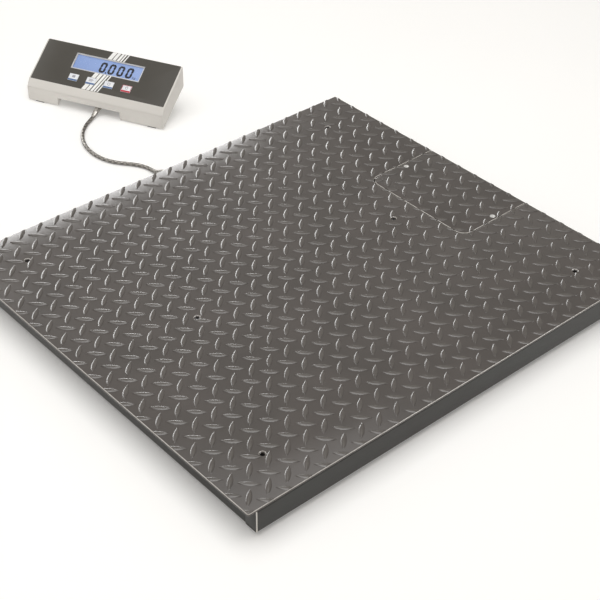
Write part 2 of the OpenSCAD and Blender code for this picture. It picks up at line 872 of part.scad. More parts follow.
module front_film() {
    color("dimgray") on_face() difference() {
        translate([film_side, film_end, film_proud - film_t])
            cube([case_w - 2 * film_side, face_l - 2 * film_end, film_t]);
        translate([window_x[0], window_y[0], -cut])
            cube([window_x[1] - window_x[0], window_y[1] - window_y[0], 2 * cut]);
        for (i = [0 : key_count - 1]) {
            translate([key_x(i), key_y, -cut]) cube_centred(key_w + 2 * key_gap, key_h + 2 * key_gap, 2 * cut);
        }
    }
}

module window_pane() {
    color("lightblue") on_face() translate([window_x[0], window_y[0], film_proud - film_t])
        cube([window_x[1] - window_x[0], window_y[1] - window_y[0], film_t]);
}

// Flat block of the display stack, standing out round the window by a margin
module stack_block(margin, low, top) {
    on_face() translate([window_x[0] - margin, window_y[0] - margin, low])
        cube([window_x[1] - window_x[0] + 2 * margin, window_y[1] - window_y[0] + 2 * margin, top - low]);
}

module lcd_glass() {
    color("cornflowerblue") stack_block(2, lcd_low, lcd_top);
}

module lcd_backlight() {
    color("white") stack_block(3, backlight_low, lcd_low);
}

module main_board() {
    color("green") on_face() {
        translate([80, 8, board_top - board_t]) cube([204, 92, board_t]);
        for (x = [96, 268], y = [53, 89]) translate([x, y, board_top - tiny]) cylinder(h = 4 + tiny, r = 2.5);
    }
}

module key_switches() {
    color("black") on_face() for (i = [0 : key_count - 1]) translate([key_x(i), key_y, board_top]) {
        cube_centred(6, 6, 4);
        translate([0, 0, 4 - tiny]) cylinder(h = plunger_end - key_travel - board_top - 4 - 0.05, r = 1.7);
    }
}

module membrane_key(i, tint) {
    color(tint) on_face() translate([key_x(i), key_y, 0]) union() {
        translate([0, 0, film_proud - film_t]) cube_centred(key_w, key_h, film_t);
        translate([0, 0, plunger_end]) cube_centred(plunger_w, plunger_h, film_proud - film_t - plunger_end + tiny);
    }
}

module batteries() {
    color("darkkhaki") on_underside() for (i = [0 : 3]) {
        translate([286, cell_first_y + i * cell_pitch, cell_mid_h]) rotate([0, 90, 0]) {
            cylinder(h = cell_l - 1, r = cell_r);
            translate([0, 0, cell_l - 1 - tiny]) cylinder(h = 1 + tiny, r = 2.75);
        }
    }
}

module battery_contacts() {
    bay_mid = (cell_bay_y[0] + cell_bay_y[1]) / 2;
    color("silver") on_underside() for (s = [0, 1]) {
        translate([s == 0 ? cell_bay_x[0] : cell_bay_x[1] - contact_t, bay_mid - 30, cell_mid_h - 5])
            cube([contact_t, 60, 10]);
        for (i = [0 : 3]) translate([
            s == 0 ? cell_bay_x[0] + contact_t - tiny : 286 + cell_l,
            cell_first_y + i * cell_pitch, cell_mid_h
        ]) rotate([0, 90, 0]) cylinder(h = s == 0 ? 286 - cell_bay_x[0] - contact_t : 1 + tiny, r = 2.5);
    }
}

module battery_door() {
    g = 0.3;
    color("gainsboro") on_underside() difference() {
        translate([cell_bay_x[0] + g, cell_bay_y[0] + g, 0])
            cube([cell_bay_x[1] - cell_bay_x[0] - 2 * g, cell_bay_y[1] - cell_bay_y[0] - 2 * g, door_t]);
        for (k = [0 : 3]) translate([cell_bay_x[0] + 18, cell_bay_y[0] + 6 + 2.5 * k, -cut]) cube([20, 1, cut + 0.4]);
    }
}

module case_screws() {
    color("silver") on_underside() for (x = screw_x, y = screw_y) translate([x, y, 0]) difference() {
        union() {
            cylinder(h = 1, r = screw_head_r);
            translate([0, 0, 1 - tiny]) cylinder(h = 14, r = screw_r);
        }
        translate([0, 0, -tiny]) hex_prism(1.3, 0.6);
    }
}

module tilt_bracket() {
    drop = bracket_t / cos(under_tilt);
    y0 = bracket_y[0];
    y1 = bracket_y[1];
    low = pad_t - display_at[2];
    color("gray") difference() {
        at_display() across(bracket_x[0], bracket_x[1]) polygon([
            [y0, low], [y1, low], [y1, y1 * under_slope - seat_gap],
            [bracket_flange_y, bracket_flange_y * under_slope - seat_gap],
            [bracket_flange_y, bracket_flange_y * under_slope - drop],
            [y1 - bracket_t, (y1 - bracket_t) * under_slope - drop],
            [y1 - bracket_t, low + bracket_t], [y0, low + bracket_t]
        ]);
        at_display() for (x = bracket_screw_x) {
            translate([x, bracket_hole_y, low - cut]) cylinder(h = bracket_t + 2 * cut, r = bracket_hole_r);
        }
        on_underside() for (x = bracket_screw_x) {
            translate([x, bracket_screw_y, -bracket_t - cut]) cylinder(h = bracket_t + 2 * cut, r = 2.2);
        }
    }
}

module bracket_screws() {
    color("silver") on_underside() for (x = bracket_screw_x) translate([x, bracket_screw_y, 0]) difference() {
        union() {
            translate([0, 0, -bracket_t - 2.2]) cylinder(h = 2.2, r = 3.5);
            translate([0, 0, -bracket_t - tiny]) cylinder(h = 9, r = 2);
        }
        translate([0, 0, -bracket_t - 2.2 - tiny]) hex_prism(1.5, 1.3);
    }
}

module display_feet() {
    low = -display_at[2];
    color("black") at_display() {
        for (x = [20, 320]) across(x, x + 22) polygon([
            [1, low], [13, low], [13, 13 * under_slope], [1, under_slope]
        ]);
        for (x = [bracket_x[0] + 4, bracket_x[1] - 24]) {
            translate([x, bracket_y[0] + 2, low]) cube([20, 48, pad_t]);
        }
    }
}

deck_plate();
side_channel_front();
side_channel_rear();
end_channel_left();
end_channel_right();
long_ribs();
cross_ribs();
hatch_ledge();
box_tray();
eye_nuts();
load_cell_blocks();
load_cells();
load_cell_bolts();
jam_nuts();
foot_stem(0);  // foot_stem_front_left
foot_stem(1);  // foot_stem_front_right
foot_stem(2);  // foot_stem_rear_left
foot_stem(3);  // foot_stem_rear_right
foot_pad(0);  // foot_pad_front_left
foot_pad(1);  // foot_pad_front_right
foot_pad(2);  // foot_pad_rear_left
foot_pad(3);  // foot_pad_rear_right
foot_sole(0);  // foot_sole_front_left
foot_sole(1);  // foot_sole_front_right
foot_sole(2);  // foot_sole_rear_left
foot_sole(3);  // foot_sole_rear_right
hatch_cover();
hatch_screws();
junction_box();
junction_lid();
junction_lid_screws();
junction_board();
junction_glands();
load_cell_leads();
inner_signal_lead();
skirt_gland();
skirt_gland_nut();
signal_cable();
cable_ferrule();
display_gland();
upper_shell();
lower_shell();
front_film();
window_pane();
lcd_glass();
lcd_backlight();
main_board();
key_switches();
membrane_key(0, "white");  // key_1
membrane_key(1, "white");  // key_2
membrane_key(2, "white");  // key_3
membrane_key(3, "tomato");  // key_power
batteries();
battery_contacts();
battery_door();
case_screws();
tilt_bracket();
bracket_screws();
display_feet();
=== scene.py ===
"""Looks of a low pallet scale: a tread-plate platform on load-cell feet, and a
tilted display unit that stands beside it on a metal-sheathed cable.

All sizes are in millimetres in the platform's own frame: the origin is the middle
of the platform on the floor, X is its long side, Y points at the display and Z up.
"""

import json
import logging
import math
from contextlib import contextmanager
from dataclasses import dataclass
from enum import Enum
from typing import Callable, Iterator, Optional, Sequence

import bpy
from mathutils import Matrix, Vector

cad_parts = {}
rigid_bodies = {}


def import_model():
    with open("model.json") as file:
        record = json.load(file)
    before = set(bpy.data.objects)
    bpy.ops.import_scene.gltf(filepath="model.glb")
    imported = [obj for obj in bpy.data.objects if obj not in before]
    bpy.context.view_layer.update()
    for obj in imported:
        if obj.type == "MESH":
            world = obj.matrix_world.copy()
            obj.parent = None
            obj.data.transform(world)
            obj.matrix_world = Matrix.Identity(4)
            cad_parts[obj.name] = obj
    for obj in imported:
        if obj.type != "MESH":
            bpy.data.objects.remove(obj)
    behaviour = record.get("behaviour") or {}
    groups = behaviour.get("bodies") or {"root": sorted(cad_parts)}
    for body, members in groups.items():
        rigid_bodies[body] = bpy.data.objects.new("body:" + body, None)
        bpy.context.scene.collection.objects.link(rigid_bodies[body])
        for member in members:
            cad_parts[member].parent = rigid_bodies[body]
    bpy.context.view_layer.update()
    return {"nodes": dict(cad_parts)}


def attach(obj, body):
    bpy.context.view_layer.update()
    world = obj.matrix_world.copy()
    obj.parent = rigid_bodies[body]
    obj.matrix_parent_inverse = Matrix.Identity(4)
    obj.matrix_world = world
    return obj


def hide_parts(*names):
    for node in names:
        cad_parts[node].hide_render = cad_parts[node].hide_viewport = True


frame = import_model()

MM = 0.001
Point = tuple[float, float, float]
Thing = bpy.types.Object
Test = Callable[[Vector], bool]

logging.basicConfig(level=logging.INFO, format="%(message)s")
log = logging.getLogger("pallet_scale")


# ---------- bench: the hand operations every piece is made with ----------


class Bench:
    """The modelling operations, each on one object, with sizes in millimetres."""

    @staticmethod
    def take(thing: Thing) -> None:
        """Makes one object the only selected one and the active one."""
        for other in bpy.context.view_layer.objects:
            other.select_set(False)
        thing.select_set(True)
        bpy.context.view_layer.objects.active = thing

    @staticmethod
    def settle(thing: Thing, place: Optional[Matrix] = None) -> Thing:
        """Puts an object's place into its mesh.

        Args:
            thing: The object.
            place: Where the object goes, in metres, or None to keep where it is.

        Returns:
            The same object, at the origin.
        """
        Bench.take(thing)
        if place is not None:
            thing.matrix_world = place @ thing.matrix_world
        bpy.ops.object.transform_apply(location=True, rotation=True, scale=True)
        return thing

    @staticmethod
    def name(thing: Thing, name: str) -> Thing:
        """Names an object and its mesh."""
        thing.name = name
        thing.data.name = name
        return thing

    @staticmethod
    def block(name: str, low: Sequence[float], high: Sequence[float]) -> Thing:
        """Adds a block between two corners.

        Args:
            name: Name of the new object.
            low: Lowest corner.
            high: Highest corner.

        Returns:
            The block.
        """
        a, b = Vector(low) * MM, Vector(high) * MM
        bpy.ops.mesh.primitive_cube_add(size=1, location=(a + b) / 2, scale=b - a)
        return Bench.settle(Bench.name(bpy.context.object, name))

    @staticmethod
    def rod(name: str, base: Sequence[float], radius: float, height: float, sides: int = 48,
            top: Optional[float] = None) -> Thing:
        """Adds an upright cylinder or cone.

        Args:
            name: Name of the new object.
            base: Middle of the lower face.
            radius: Radius of the lower face.
            height: Height above the base.
            sides: Number of sides.
            top: Radius of the upper face, or None for the same radius.

        Returns:
            The rod.
        """
        bpy.ops.mesh.primitive_cone_add(
            vertices=sides, radius1=radius * MM, radius2=(radius if top is None else top) * MM,
            depth=height * MM, location=(Vector(base) + Vector((0, 0, height / 2))) * MM)
        return Bench.settle(Bench.name(bpy.context.object, name))

    @staticmethod
    @contextmanager
    def editing(thing: Thing, edges: Optional[Test] = None, faces: Optional[Test] = None,
                everything: bool = False) -> Iterator[None]:
        """Opens an object in edit mode with some of it selected.

        Args:
            thing: The object.
            edges: Chooses edges: gets the edge's middle in mm, tested with its two ends.
            faces: Chooses faces by their middle in mm.
            everything: Selects the whole mesh.
        """
        Bench.take(thing)
        mesh = thing.data
        for items in (mesh.vertices, mesh.edges, mesh.polygons):
            items.foreach_set("select", [everything] * len(items))
        bpy.context.tool_settings.mesh_select_mode = (False, edges is not None, edges is None)
        if edges is not None:
            for edge in mesh.edges:
                ends = [mesh.vertices[i].co / MM for i in edge.vertices]
                edge.select = all(edges(end) for end in (*ends, (ends[0] + ends[1]) / 2))
        if faces is not None:
            for face in mesh.polygons:
                face.select = faces(face.center / MM)
        bpy.ops.object.mode_set(mode="EDIT")
        yield
        bpy.ops.object.mode_set(mode="OBJECT")

    @staticmethod
    def round_edges(thing: Thing, width: float, where: Test, steps: int = 4) -> Thing:
        """Rounds the edges that lie where the test says.

        Args:
            thing: The object.
            width: Radius of the rounding.
            where: True for a point in mm on an edge that is rounded.
            steps: Facets across the rounding.

        Returns:
            The same object.
        """
        with Bench.editing(thing, edges=where):
            bpy.ops.mesh.bevel(offset=width * MM, segments=steps, profile=0.5, affect="EDGES")
        return thing

    @staticmethod
    def slice(thing: Thing, point: Sequence[float], outward: Sequence[float]) -> Thing:
        """Cuts off what lies beyond a plane and closes the cut.

        Args:
            thing: The object.
            point: A point on the plane.
            outward: Direction of what is cut off.

        Returns:
            The same object.
        """
        with Bench.editing(thing, everything=True):
            bpy.ops.mesh.bisect(plane_co=Vector(point) * MM, plane_no=Vector(outward).normalized(),
                                use_fill=True, clear_outer=True, threshold=1e-6)
        return thing

    @staticmethod
    def apply(thing: Thing, kind: str, **settings: object) -> Thing:
        """Adds a modifier and applies it.

        Args:
            thing: The object.
            kind: Blender's name of the modifier.
            **settings: The modifier's settings.

        Returns:
            The same object.
        """
        Bench.take(thing)
        modifier = thing.modifiers.new(kind.title(), kind)
        for key, value in settings.items():
            setattr(modifier, key, value)
        bpy.ops.object.modifier_apply(modifier=modifier.name)
        return thing

    @staticmethod
    def carve(thing: Thing, cutter: Thing, how: str = "DIFFERENCE") -> Thing:
        """Cuts an object with another one, which is used up.

        Args:
            thing: The object.
            cutter: The closed shape that cuts.
            how: DIFFERENCE, INTERSECT or UNION.

        Returns:
            The same object.
        """
        Bench.apply(thing, "BOOLEAN", object=cutter, operation=how, solver="EXACT")
        bpy.data.objects.remove(cutter)
        return thing

    @staticmethod
    def soften(thing: Thing, width: float, steps: int = 2, angle: float = 40) -> Thing:
        """Breaks every sharp edge and shades the rest smooth.

        Args:
            thing: The object.
            width: Width of the broken edge.
            steps: Facets across it.
            angle: Sharpest turn in degrees that is left alone.

        Returns:
            The same object.
        """
        Bench.apply(thing, "BEVEL", width=width * MM, segments=steps, limit_method="ANGLE",
                    angle_limit=math.radians(angle), harden_normals=False)
        return Bench.shade(thing)

    @staticmethod
    def shade(thing: Thing, angle: float = 35) -> Thing:
        """Shades an object smooth up to an angle in degrees."""
        Bench.take(thing)
        bpy.ops.object.shade_smooth_by_angle(angle=math.radians(angle))
        return thing

    @staticmethod
    def join(name: str, things: Sequence[Thing]) -> Thing:
        """Joins several objects into one.

        Args:
            name: Name of the joined object.
            things: The objects, all used up.

        Returns:
            The joined object.
        """
        Bench.take(things[0])
        for thing in things:
            thing.select_set(True)
        if len(things) > 1:
            bpy.ops.object.join()
        return Bench.name(bpy.context.view_layer.objects.active, name)

    @staticmethod
    def copy(thing: Thing, name: str) -> Thing:
        """Copies an object with a mesh of its own.

        Args:
            thing: The object.
            name: Name of the copy.

        Returns:
            The copy.
        """
        twin = thing.copy()
        twin.data = thing.data.copy()
        bpy.context.scene.collection.objects.link(twin)
        return Bench.name(twin, name)

    @staticmethod
    def detach(thing: Thing, near: Test, name: str) -> Thing:
        """Takes every loose part with a corner where the test says into a new object.

        Args:
            thing: The object, which keeps the rest.
            near: True for a point in mm of a part that is taken.
            name: Name of the new object.

        Returns:
            The new object.
        """
        Bench.take(thing)
        bpy.context.tool_settings.mesh_select_mode = (True, False, False)
        for items in (thing.data.edges, thing.data.polygons):
            items.foreach_set("select", [False] * len(items))
        for vertex in thing.data.vertices:
            vertex.select = near(vertex.co / MM)
        bpy.ops.object.mode_set(mode="EDIT")
        bpy.ops.mesh.select_linked()
        bpy.ops.mesh.separate(type="SELECTED")
        bpy.ops.object.mode_set(mode="OBJECT")
        made = next(o for o in bpy.context.selected_objects if o is not thing)
        return Bench.name(made, name)

    @staticmethod
    def turned(name: str, profile: Sequence[tuple[float, float]], sides: int = 48) -> Thing:
        """Turns a closed round piece about Z, as on a lathe.

        Args:
            name: Name of the new object.
            profile: Radius and height of each corner, from the lower middle to the upper.
            sides: Number of sides.

        Returns:
            The turned piece.
        """
        bpy.ops.mesh.primitive_plane_add(size=MM)
        thing = Bench.name(bpy.context.object, name)
        with Bench.editing(thing, everything=True):
            bpy.context.tool_settings.mesh_select_mode = (True, False, False)
            bpy.ops.mesh.select_all(action="SELECT")
            bpy.ops.mesh.merge(type="CENTER")
            start = Vector((profile[0][0], 0, profile[0][1])) * MM
            bpy.ops.transform.translate(value=start)
            for (r0, z0), (r1, z1) in zip(profile, profile[1:]):
                step = Vector((r1 - r0, 0, z1 - z0)) * MM
                bpy.ops.mesh.extrude_region_move(TRANSFORM_OT_translate={"value": step})
            bpy.ops.mesh.select_all(action="SELECT")
            bpy.ops.mesh.spin(steps=sides, angle=math.tau, center=(0, 0, 0), axis=(0, 0, 1))
            bpy.ops.mesh.select_all(action="SELECT")
            bpy.ops.mesh.remove_doubles(threshold=1e-7)
            bpy.ops.mesh.normals_make_consistent(inside=False)
        return thing

    @staticmethod
    def from_node(node: str, name: str, width: float = 0.3, flat: float = 0.6) -> Thing:
        """Copies a CAD node, merges its triangles and breaks its sharp edges.

        Args:
            node: The CAD node.
            name: Name of the new piece.
            width: Width of the broken edges.
            flat: Turn in degrees under which faces count as one.

        Returns:
            The new piece, which stands for the node.
        """
        thing = Bench.copy(frame["nodes"][node], name)
        thing.parent = None
        for key in list(thing.keys()):
            del thing[key]
        with Bench.editing(thing, everything=True):
            bpy.ops.mesh.customdata_custom_splitnormals_clear()
            bpy.ops.mesh.remove_doubles(threshold=2e-6)
            bpy.ops.mesh.dissolve_limited(angle_limit=math.radians(flat))
        Bench.soften(thing, width)
        return thing


# ---------- places of the display unit ----------


@dataclass(frozen=True)
class DisplayPlaces:
    """Where the display unit's own frames stand: X across it, Y to its back."""

    foot: Point = (8.5, 997.0, 2.5)
    yaw: float = -64.0
    face: Point = (0.0, 12.0, 51.0)
    face_tilt: float = 30.0
    rear_low: float = 57.0
    case_d: float = 111.0
    outlet: Point = (188.0, 28.0, 22.0)
    outlet_tilt: float = 20.0

    def turn(self, degrees: float) -> Matrix:
        """A turn about X."""
        return Matrix.Rotation(math.radians(degrees), 4, "X")

    def case(self) -> Matrix:
        """Frame of the case, its origin at the lower front left corner."""
        return Matrix.Translation(Vector(self.foot) * MM) @ Matrix.Rotation(math.radians(self.yaw), 4, "Z")

    def on_face(self) -> Matrix:
        """Frame of the tilted face, Y up the face and Z out of it."""
        return self.case() @ Matrix.Translation(Vector(self.face) * MM) @ self.turn(self.face_tilt)

    def on_underside(self) -> Matrix:
        """Frame of the sloping underside, Z into the case."""
        return self.case() @ self.turn(math.degrees(math.atan(self.rear_low / self.case_d)))

    def at_outlet(self) -> Matrix:
        """Frame of the cable outlet, Z running out along the cable."""
        return self.case() @ Matrix.Translation(Vector(self.outlet) * MM) @ self.turn(90 + self.outlet_tilt)


PLACES = DisplayPlaces()


# ---------- finishes ----------


def linear(colour: str) -> tuple[float, float, float, float]:
    """Turns an sRGB hex colour into the linear colour that shaders take.

    Args:
        colour: Six hex digits after a hash sign.

    Returns:
        Linear red, green, blue and an alpha of one.
    """
    parts = [int(colour[i:i + 2], 16) / 255 for i in (1, 3, 5)]
    r, g, b = [c / 12.92 if c <= 0.04045 else ((c + 0.055) / 1.055) ** 2.4 for c in parts]
    return r, g, b, 1.0


def add_node(tree: bpy.types.NodeTree, kind: str, inputs: Optional[dict] = None,
             **settings: object) -> bpy.types.Node:
    """Adds one shader node.

    Args:
        tree: The material's node tree.
        kind: Node type, without its common prefix.
        inputs: What each socket is set to, or the socket that is linked to it.
        **settings: The node's own settings.

    Returns:
        The new node.
    """
    node = tree.nodes.new("ShaderNode" + kind)
    for key, value in settings.items():
        setattr(node, key, value)
    for key, value in (inputs or {}).items():
        if isinstance(value, bpy.types.NodeSocket):
            tree.links.new(value, node.inputs[key])
        else:
            node.inputs[key].default_value = value
    return node


@dataclass(frozen=True)
class Finish:
    """A surface with a main colour, clouds of a second one, grain and uneven gloss.

    Attributes:
        name: What the finish is.
        colour: Main colour.
        cloud: Colour that drifts over it.
        cloud_mm: Size of the clouds.
        grain_mm: Size of the grain.
        grain_depth: Height of the grain in mm.
        roughness: Lowest and highest roughness.
        metallic: 1 for uncoated metal.
        specular: Strength of the mirror-like part on what is not metal.
        coat: Strength of a clear coat.
        stretch: How much longer the grain is along X, Y and Z.
        shine: How much white light the surface gives off.
    """

    name: str
    colour: str
    cloud: str
    cloud_mm: float = 60.0
    grain_mm: float = 1.5
    grain_depth: float = 0.05
    roughness: tuple[float, float] = (0.4, 0.55)
    metallic: float = 0.0
    specular: float = 0.5
    coat: float = 0.0
    stretch: Point = (1.0, 1.0, 1.0)
    shine: float = 0.0

    def build(self) -> bpy.types.Material:
        """Makes the material.

        Returns:
            A node material on Object coordinates.
        """
        material = bpy.data.materials.new(self.name)
        material.use_nodes = True
        tree = material.node_tree
        shader = tree.nodes["Principled BSDF"]
        where = add_node(tree, "TexCoord").outputs["Object"]
        self.dress(tree, shader, where)
        return material

    def noise(self, tree: bpy.types.NodeTree, where: bpy.types.NodeSocket, size_mm: float,
              detail: float = 3.0, stretch: bool = False) -> bpy.types.NodeSocket:
        """Adds a noise of a real size.

        Args:
            tree: The material's node tree.
            where: Coordinates in metres.
            size_mm: Size of one blot.
            detail: Layers of finer noise.
            stretch: Draws the noise out as the finish's stretch says.

        Returns:
            The noise's value.
        """
        if stretch:
            shrink = tuple(1 / s for s in self.stretch)
            where = add_node(tree, "Mapping", {"Vector": where, "Scale": shrink}).outputs[0]
        return add_node(tree, "TexNoise", {
            "Vector": where, "Scale": 1 / (size_mm * MM), "Detail": detail}).outputs[0]

    def span(self, tree: bpy.types.NodeTree, value: bpy.types.NodeSocket, low: float,
             high: float) -> bpy.types.NodeSocket:
        """Maps the middle of a noise to a range.

        Args:
            tree: The material's node tree.
            value: The noise.
            low: Result where the noise is low.
            high: Result where it is high.

        Returns:
            The mapped value.
        """
        return add_node(tree, "MapRange", {
            "Value": value, "From Min": 0.3, "From Max": 0.7, "To Min": low, "To Max": high}).outputs[0]

    def mix(self, tree: bpy.types.NodeTree, share: bpy.types.NodeSocket, first: object,
            second: object) -> bpy.types.NodeSocket:
        """Mixes two colours.

        Args:
            tree: The material's node tree.
            share: How much of the second one.
            first: Hex colour or socket.
            second: Hex colour or socket.

        Returns:
            The mixed colour.
        """
        ends = [linear(c) if isinstance(c, str) else c for c in (first, second)]
        return add_node(tree, "Mix", {0: share, 6: ends[0], 7: ends[1]}, data_type="RGBA").outputs[2]

    def bump(self, tree: bpy.types.NodeTree, height: bpy.types.NodeSocket, depth_mm: float,
             before: Optional[bpy.types.NodeSocket] = None) -> bpy.types.NodeSocket:
        """Turns a height into a bumped normal.

        Args:
            tree: The material's node tree.
            height: The height, from 0 to 1.
            depth_mm: What a height of 1 stands for.
            before: A normal to bump further.

        Returns:
            The normal.
        """
        inputs = {"Height": height, "Distance": depth_mm * MM}
        if before is not None:
            inputs["Normal"] = before
        return add_node(tree, "Bump", inputs).outputs[0]

    def dress(self, tree: bpy.types.NodeTree, shader: bpy.types.Node,
              where: bpy.types.NodeSocket) -> None:
        """Sets the shader's sockets.

        Args:
            tree: The material's node tree.
            shader: The shader.
            where: Object coordinates.
        """
        clouds = self.noise(tree, where, self.cloud_mm)
        grain = self.noise(tree, where, self.grain_mm, 2.0, True)
        tree.links.new(self.mix(tree, self.span(tree, clouds, 0, 1), self.colour, self.cloud),
                       shader.inputs["Base Color"])
        tree.links.new(self.span(tree, grain, *self.roughness), shader.inputs["Roughness"])
        tree.links.new(self.bump(tree, grain, self.grain_depth), shader.inputs["Normal"])
        shader.inputs["Metallic"].default_value = self.metallic
        if not self.metallic:
            shader.inputs["Specular IOR Level"].default_value = self.specular
        shader.inputs["Coat Weight"].default_value = self.coat
        shader.inputs["Emission Color"].default_value = linear("#ffffff")
        shader.inputs["Emission Strength"].default_value = self.shine


@dataclass(frozen=True)
class TreadPaint(Finish):
    """Lacquered tread plate: darker in the hollows, rubbed lighter on the lugs' crowns, with a painted highlight
    along the plate's rounded edges.
    """

    worn: str = "#5d5955"
    # Pale colour of the painted highlight on the plate's rounded top edges, round the hatch and round the holes
    painted_highlight: str = "#bdb9b4"
    deck_h: float = 64.0
    lug_h: float = 1.5
    rub_from: float = 0.35
    edge_h: float = 0.8
    edge_gap: float = 0.04

    def dress(self, tree: bpy.types.NodeTree, shader: bpy.types.Node,
              where: bpy.types.NodeSocket) -> None:
        """Adds the rub on the crowns and a painted highlight on the plate's rounded edges."""
        super().dress(tree, shader, where)
        base = shader.inputs["Base Color"].links[0].from_socket
        height = add_node(tree, "SeparateXYZ", {"Vector": where}).outputs["Z"]
        crown = add_node(tree, "MapRange", {
            "Value": height, "From Min": (self.deck_h + self.rub_from * self.lug_h) * MM,
            "From Max": (self.deck_h + self.lug_h) * MM}).outputs[0]
        blotch = self.span(tree, self.noise(tree, where, 9.0), 0.35, 1.0)
        rub = add_node(tree, "Math", {0: crown, 1: blotch}, operation="MULTIPLY").outputs[0]
        crowned = self.mix(tree, rub, base, self.worn)
        # Painted highlight: a pale band just under the deck's top, on its rounded edges, standing in for the light
        # line those edges catch
        over, under = (add_node(tree, "Math", {0: height, 1: (self.deck_h - depth) * MM}, operation=test).outputs[0]
                       for depth, test in ((self.edge_h, "GREATER_THAN"), (self.edge_gap, "LESS_THAN")))
        edge = add_node(tree, "Math", {0: over, 1: under}, operation="MULTIPLY").outputs[0]
        tree.links.new(self.mix(tree, edge, crowned, self.painted_highlight), shader.inputs["Base Color"])


@dataclass(frozen=True)
class PaintedCornerHighlight(Finish):
    """Lacquered sheet with a painted highlight down its upright outer corners."""

    # Pale colour of the painted highlight on the upright corners
    painted_highlight: str = "#dad6d0"
    corner: tuple[float, float] = (480.4, 447.4)

    def dress(self, tree: bpy.types.NodeTree, shader: bpy.types.Node,
              where: bpy.types.NodeSocket) -> None:
        """Adds the painted highlight on the corners."""
        super().dress(tree, shader, where)
        base = shader.inputs["Base Color"].links[0].from_socket
        axes = add_node(tree, "SeparateXYZ", {"Vector": where}).outputs
        past = []
        for axis, reach in zip("XY", self.corner):
            far = add_node(tree, "Math", {0: axes[axis]}, operation="ABSOLUTE").outputs[0]
            past.append(add_node(tree, "Math", {0: far, 1: reach * MM}, operation="GREATER_THAN").outputs[0])
        # Painted highlight: a pale strip where both |x| and |y| pass the corner's reach
        corner = add_node(tree, "Math", {0: past[0], 1: past[1]}, operation="MULTIPLY").outputs[0]
        tree.links.new(self.mix(tree, corner, base, self.painted_highlight), shader.inputs["Base Color"])


@dataclass(frozen=True)
class SheathWeave(Finish):
    """Braided steel sheath: fine wires that run both ways round along the tube's own map, with painted shade in the
    gaps between wires and between carriers.
    """

    wire_mm: float = 0.55
    carrier_mm: float = 4.45
    wire_h: float = 0.12
    # Painted shade: dark colours for the gaps between wires and between carriers
    painted_gap_shade: str = "#2e2d2b"
    painted_crossing_shade: str = "#252422"

    def dress(self, tree: bpy.types.NodeTree, shader: bpy.types.Node,
              where: bpy.types.NodeSocket) -> None:
        """Adds wires at plus and minus 45 degrees on the map of the sheath, with painted shade in the gaps between
        them.
        """
        super().dress(tree, shader, where)
        run = add_node(tree, "UVMap", uv_map="sheath").outputs[0]
        heights, gaps = [], []
        for turn in (math.pi / 4, -math.pi / 4):
            turned = add_node(tree, "Mapping", {"Vector": run, "Rotation": (0, 0, turn)}).outputs[0]
            heights.append(add_node(tree, "TexWave", {
                "Vector": turned, "Scale": 1 / (self.wire_mm * MM) / 20, "Distortion": 0.3}).outputs[1])
            gaps.append(add_node(tree, "TexWave", {
                "Vector": turned, "Scale": math.sqrt(2) / (self.carrier_mm * MM) / 10}).outputs[1])
        wires = add_node(tree, "Math", {0: heights[0], 1: heights[1]}, operation="MAXIMUM").outputs[0]
        crossing = add_node(tree, "Math", {0: gaps[0], 1: gaps[1]}, operation="MULTIPLY").outputs[0]
        # Painted shade: darkest in the gaps between carriers
        lit = add_node(tree, "MapRange", {"Value": crossing, "From Max": 0.2, "To Min": 0.35}).outputs[0]
        before = shader.inputs["Normal"].links[0].from_socket
        tree.links.new(self.bump(tree, wires, self.wire_h, before), shader.inputs["Normal"])
        base = shader.inputs["Base Color"].links[0].from_socket
        # Painted shade: darker where the wires lie low
        strands = self.mix(tree, self.span(tree, wires, 0.5, 1.0), self.painted_gap_shade, base)
        tree.links.new(self.mix(tree, lit, self.painted_crossing_shade, strands), shader.inputs["Base Color"])


@dataclass(frozen=True)
class LitScreen(Finish):
    """Backlit liquid-crystal glass that gives off an even light."""

    glow: float = 0.5

    def dress(self, tree: bpy.types.NodeTree, shader: bpy.types.Node,
              where: bpy.types.NodeSocket) -> None:
        """Lets the screen shine in the deeper of its two colours."""
        super().dress(tree, shader, where)
        shader.inputs["Emission Color"].default_value = linear(self.cloud)
        shader.inputs["Emission Strength"].default_value = self.glow


@dataclass(frozen=True)
class ClearSheet(Finish):
    """Clear hard-coated window: hardly any colour, faint gloss."""

    veil: float = 0.02
    ior: float = 1.49

    def dress(self, tree: bpy.types.NodeTree, shader: bpy.types.Node,
              where: bpy.types.NodeSocket) -> None:
        """Makes the sheet see-through."""
        super().dress(tree, shader, where)
        shader.inputs["Alpha"].default_value = self.veil
        shader.inputs["IOR"].default_value = self.ior


@dataclass(frozen=True)
class CircuitBoard(Finish):
    """Green solder mask with lighter tracks on a grid."""

    grid_mm: float = 2.5
    track: str = "#5c9a63"

    def dress(self, tree: bpy.types.NodeTree, shader: bpy.types.Node,
              where: bpy.types.NodeSocket) -> None:
        """Adds the tracks as thin stepped lines."""
        super().dress(tree, shader, where)
        bricks = add_node(tree, "TexBrick", {
            "Vector": where, "Scale": 1 / (self.grid_mm * MM) / 2, "Mortar Size": 0.03,
            "Color1": linear(self.colour), "Color2": linear(self.cloud), "Mortar": linear(self.track)})
        tree.links.new(bricks.outputs[0], shader.inputs["Base Color"])


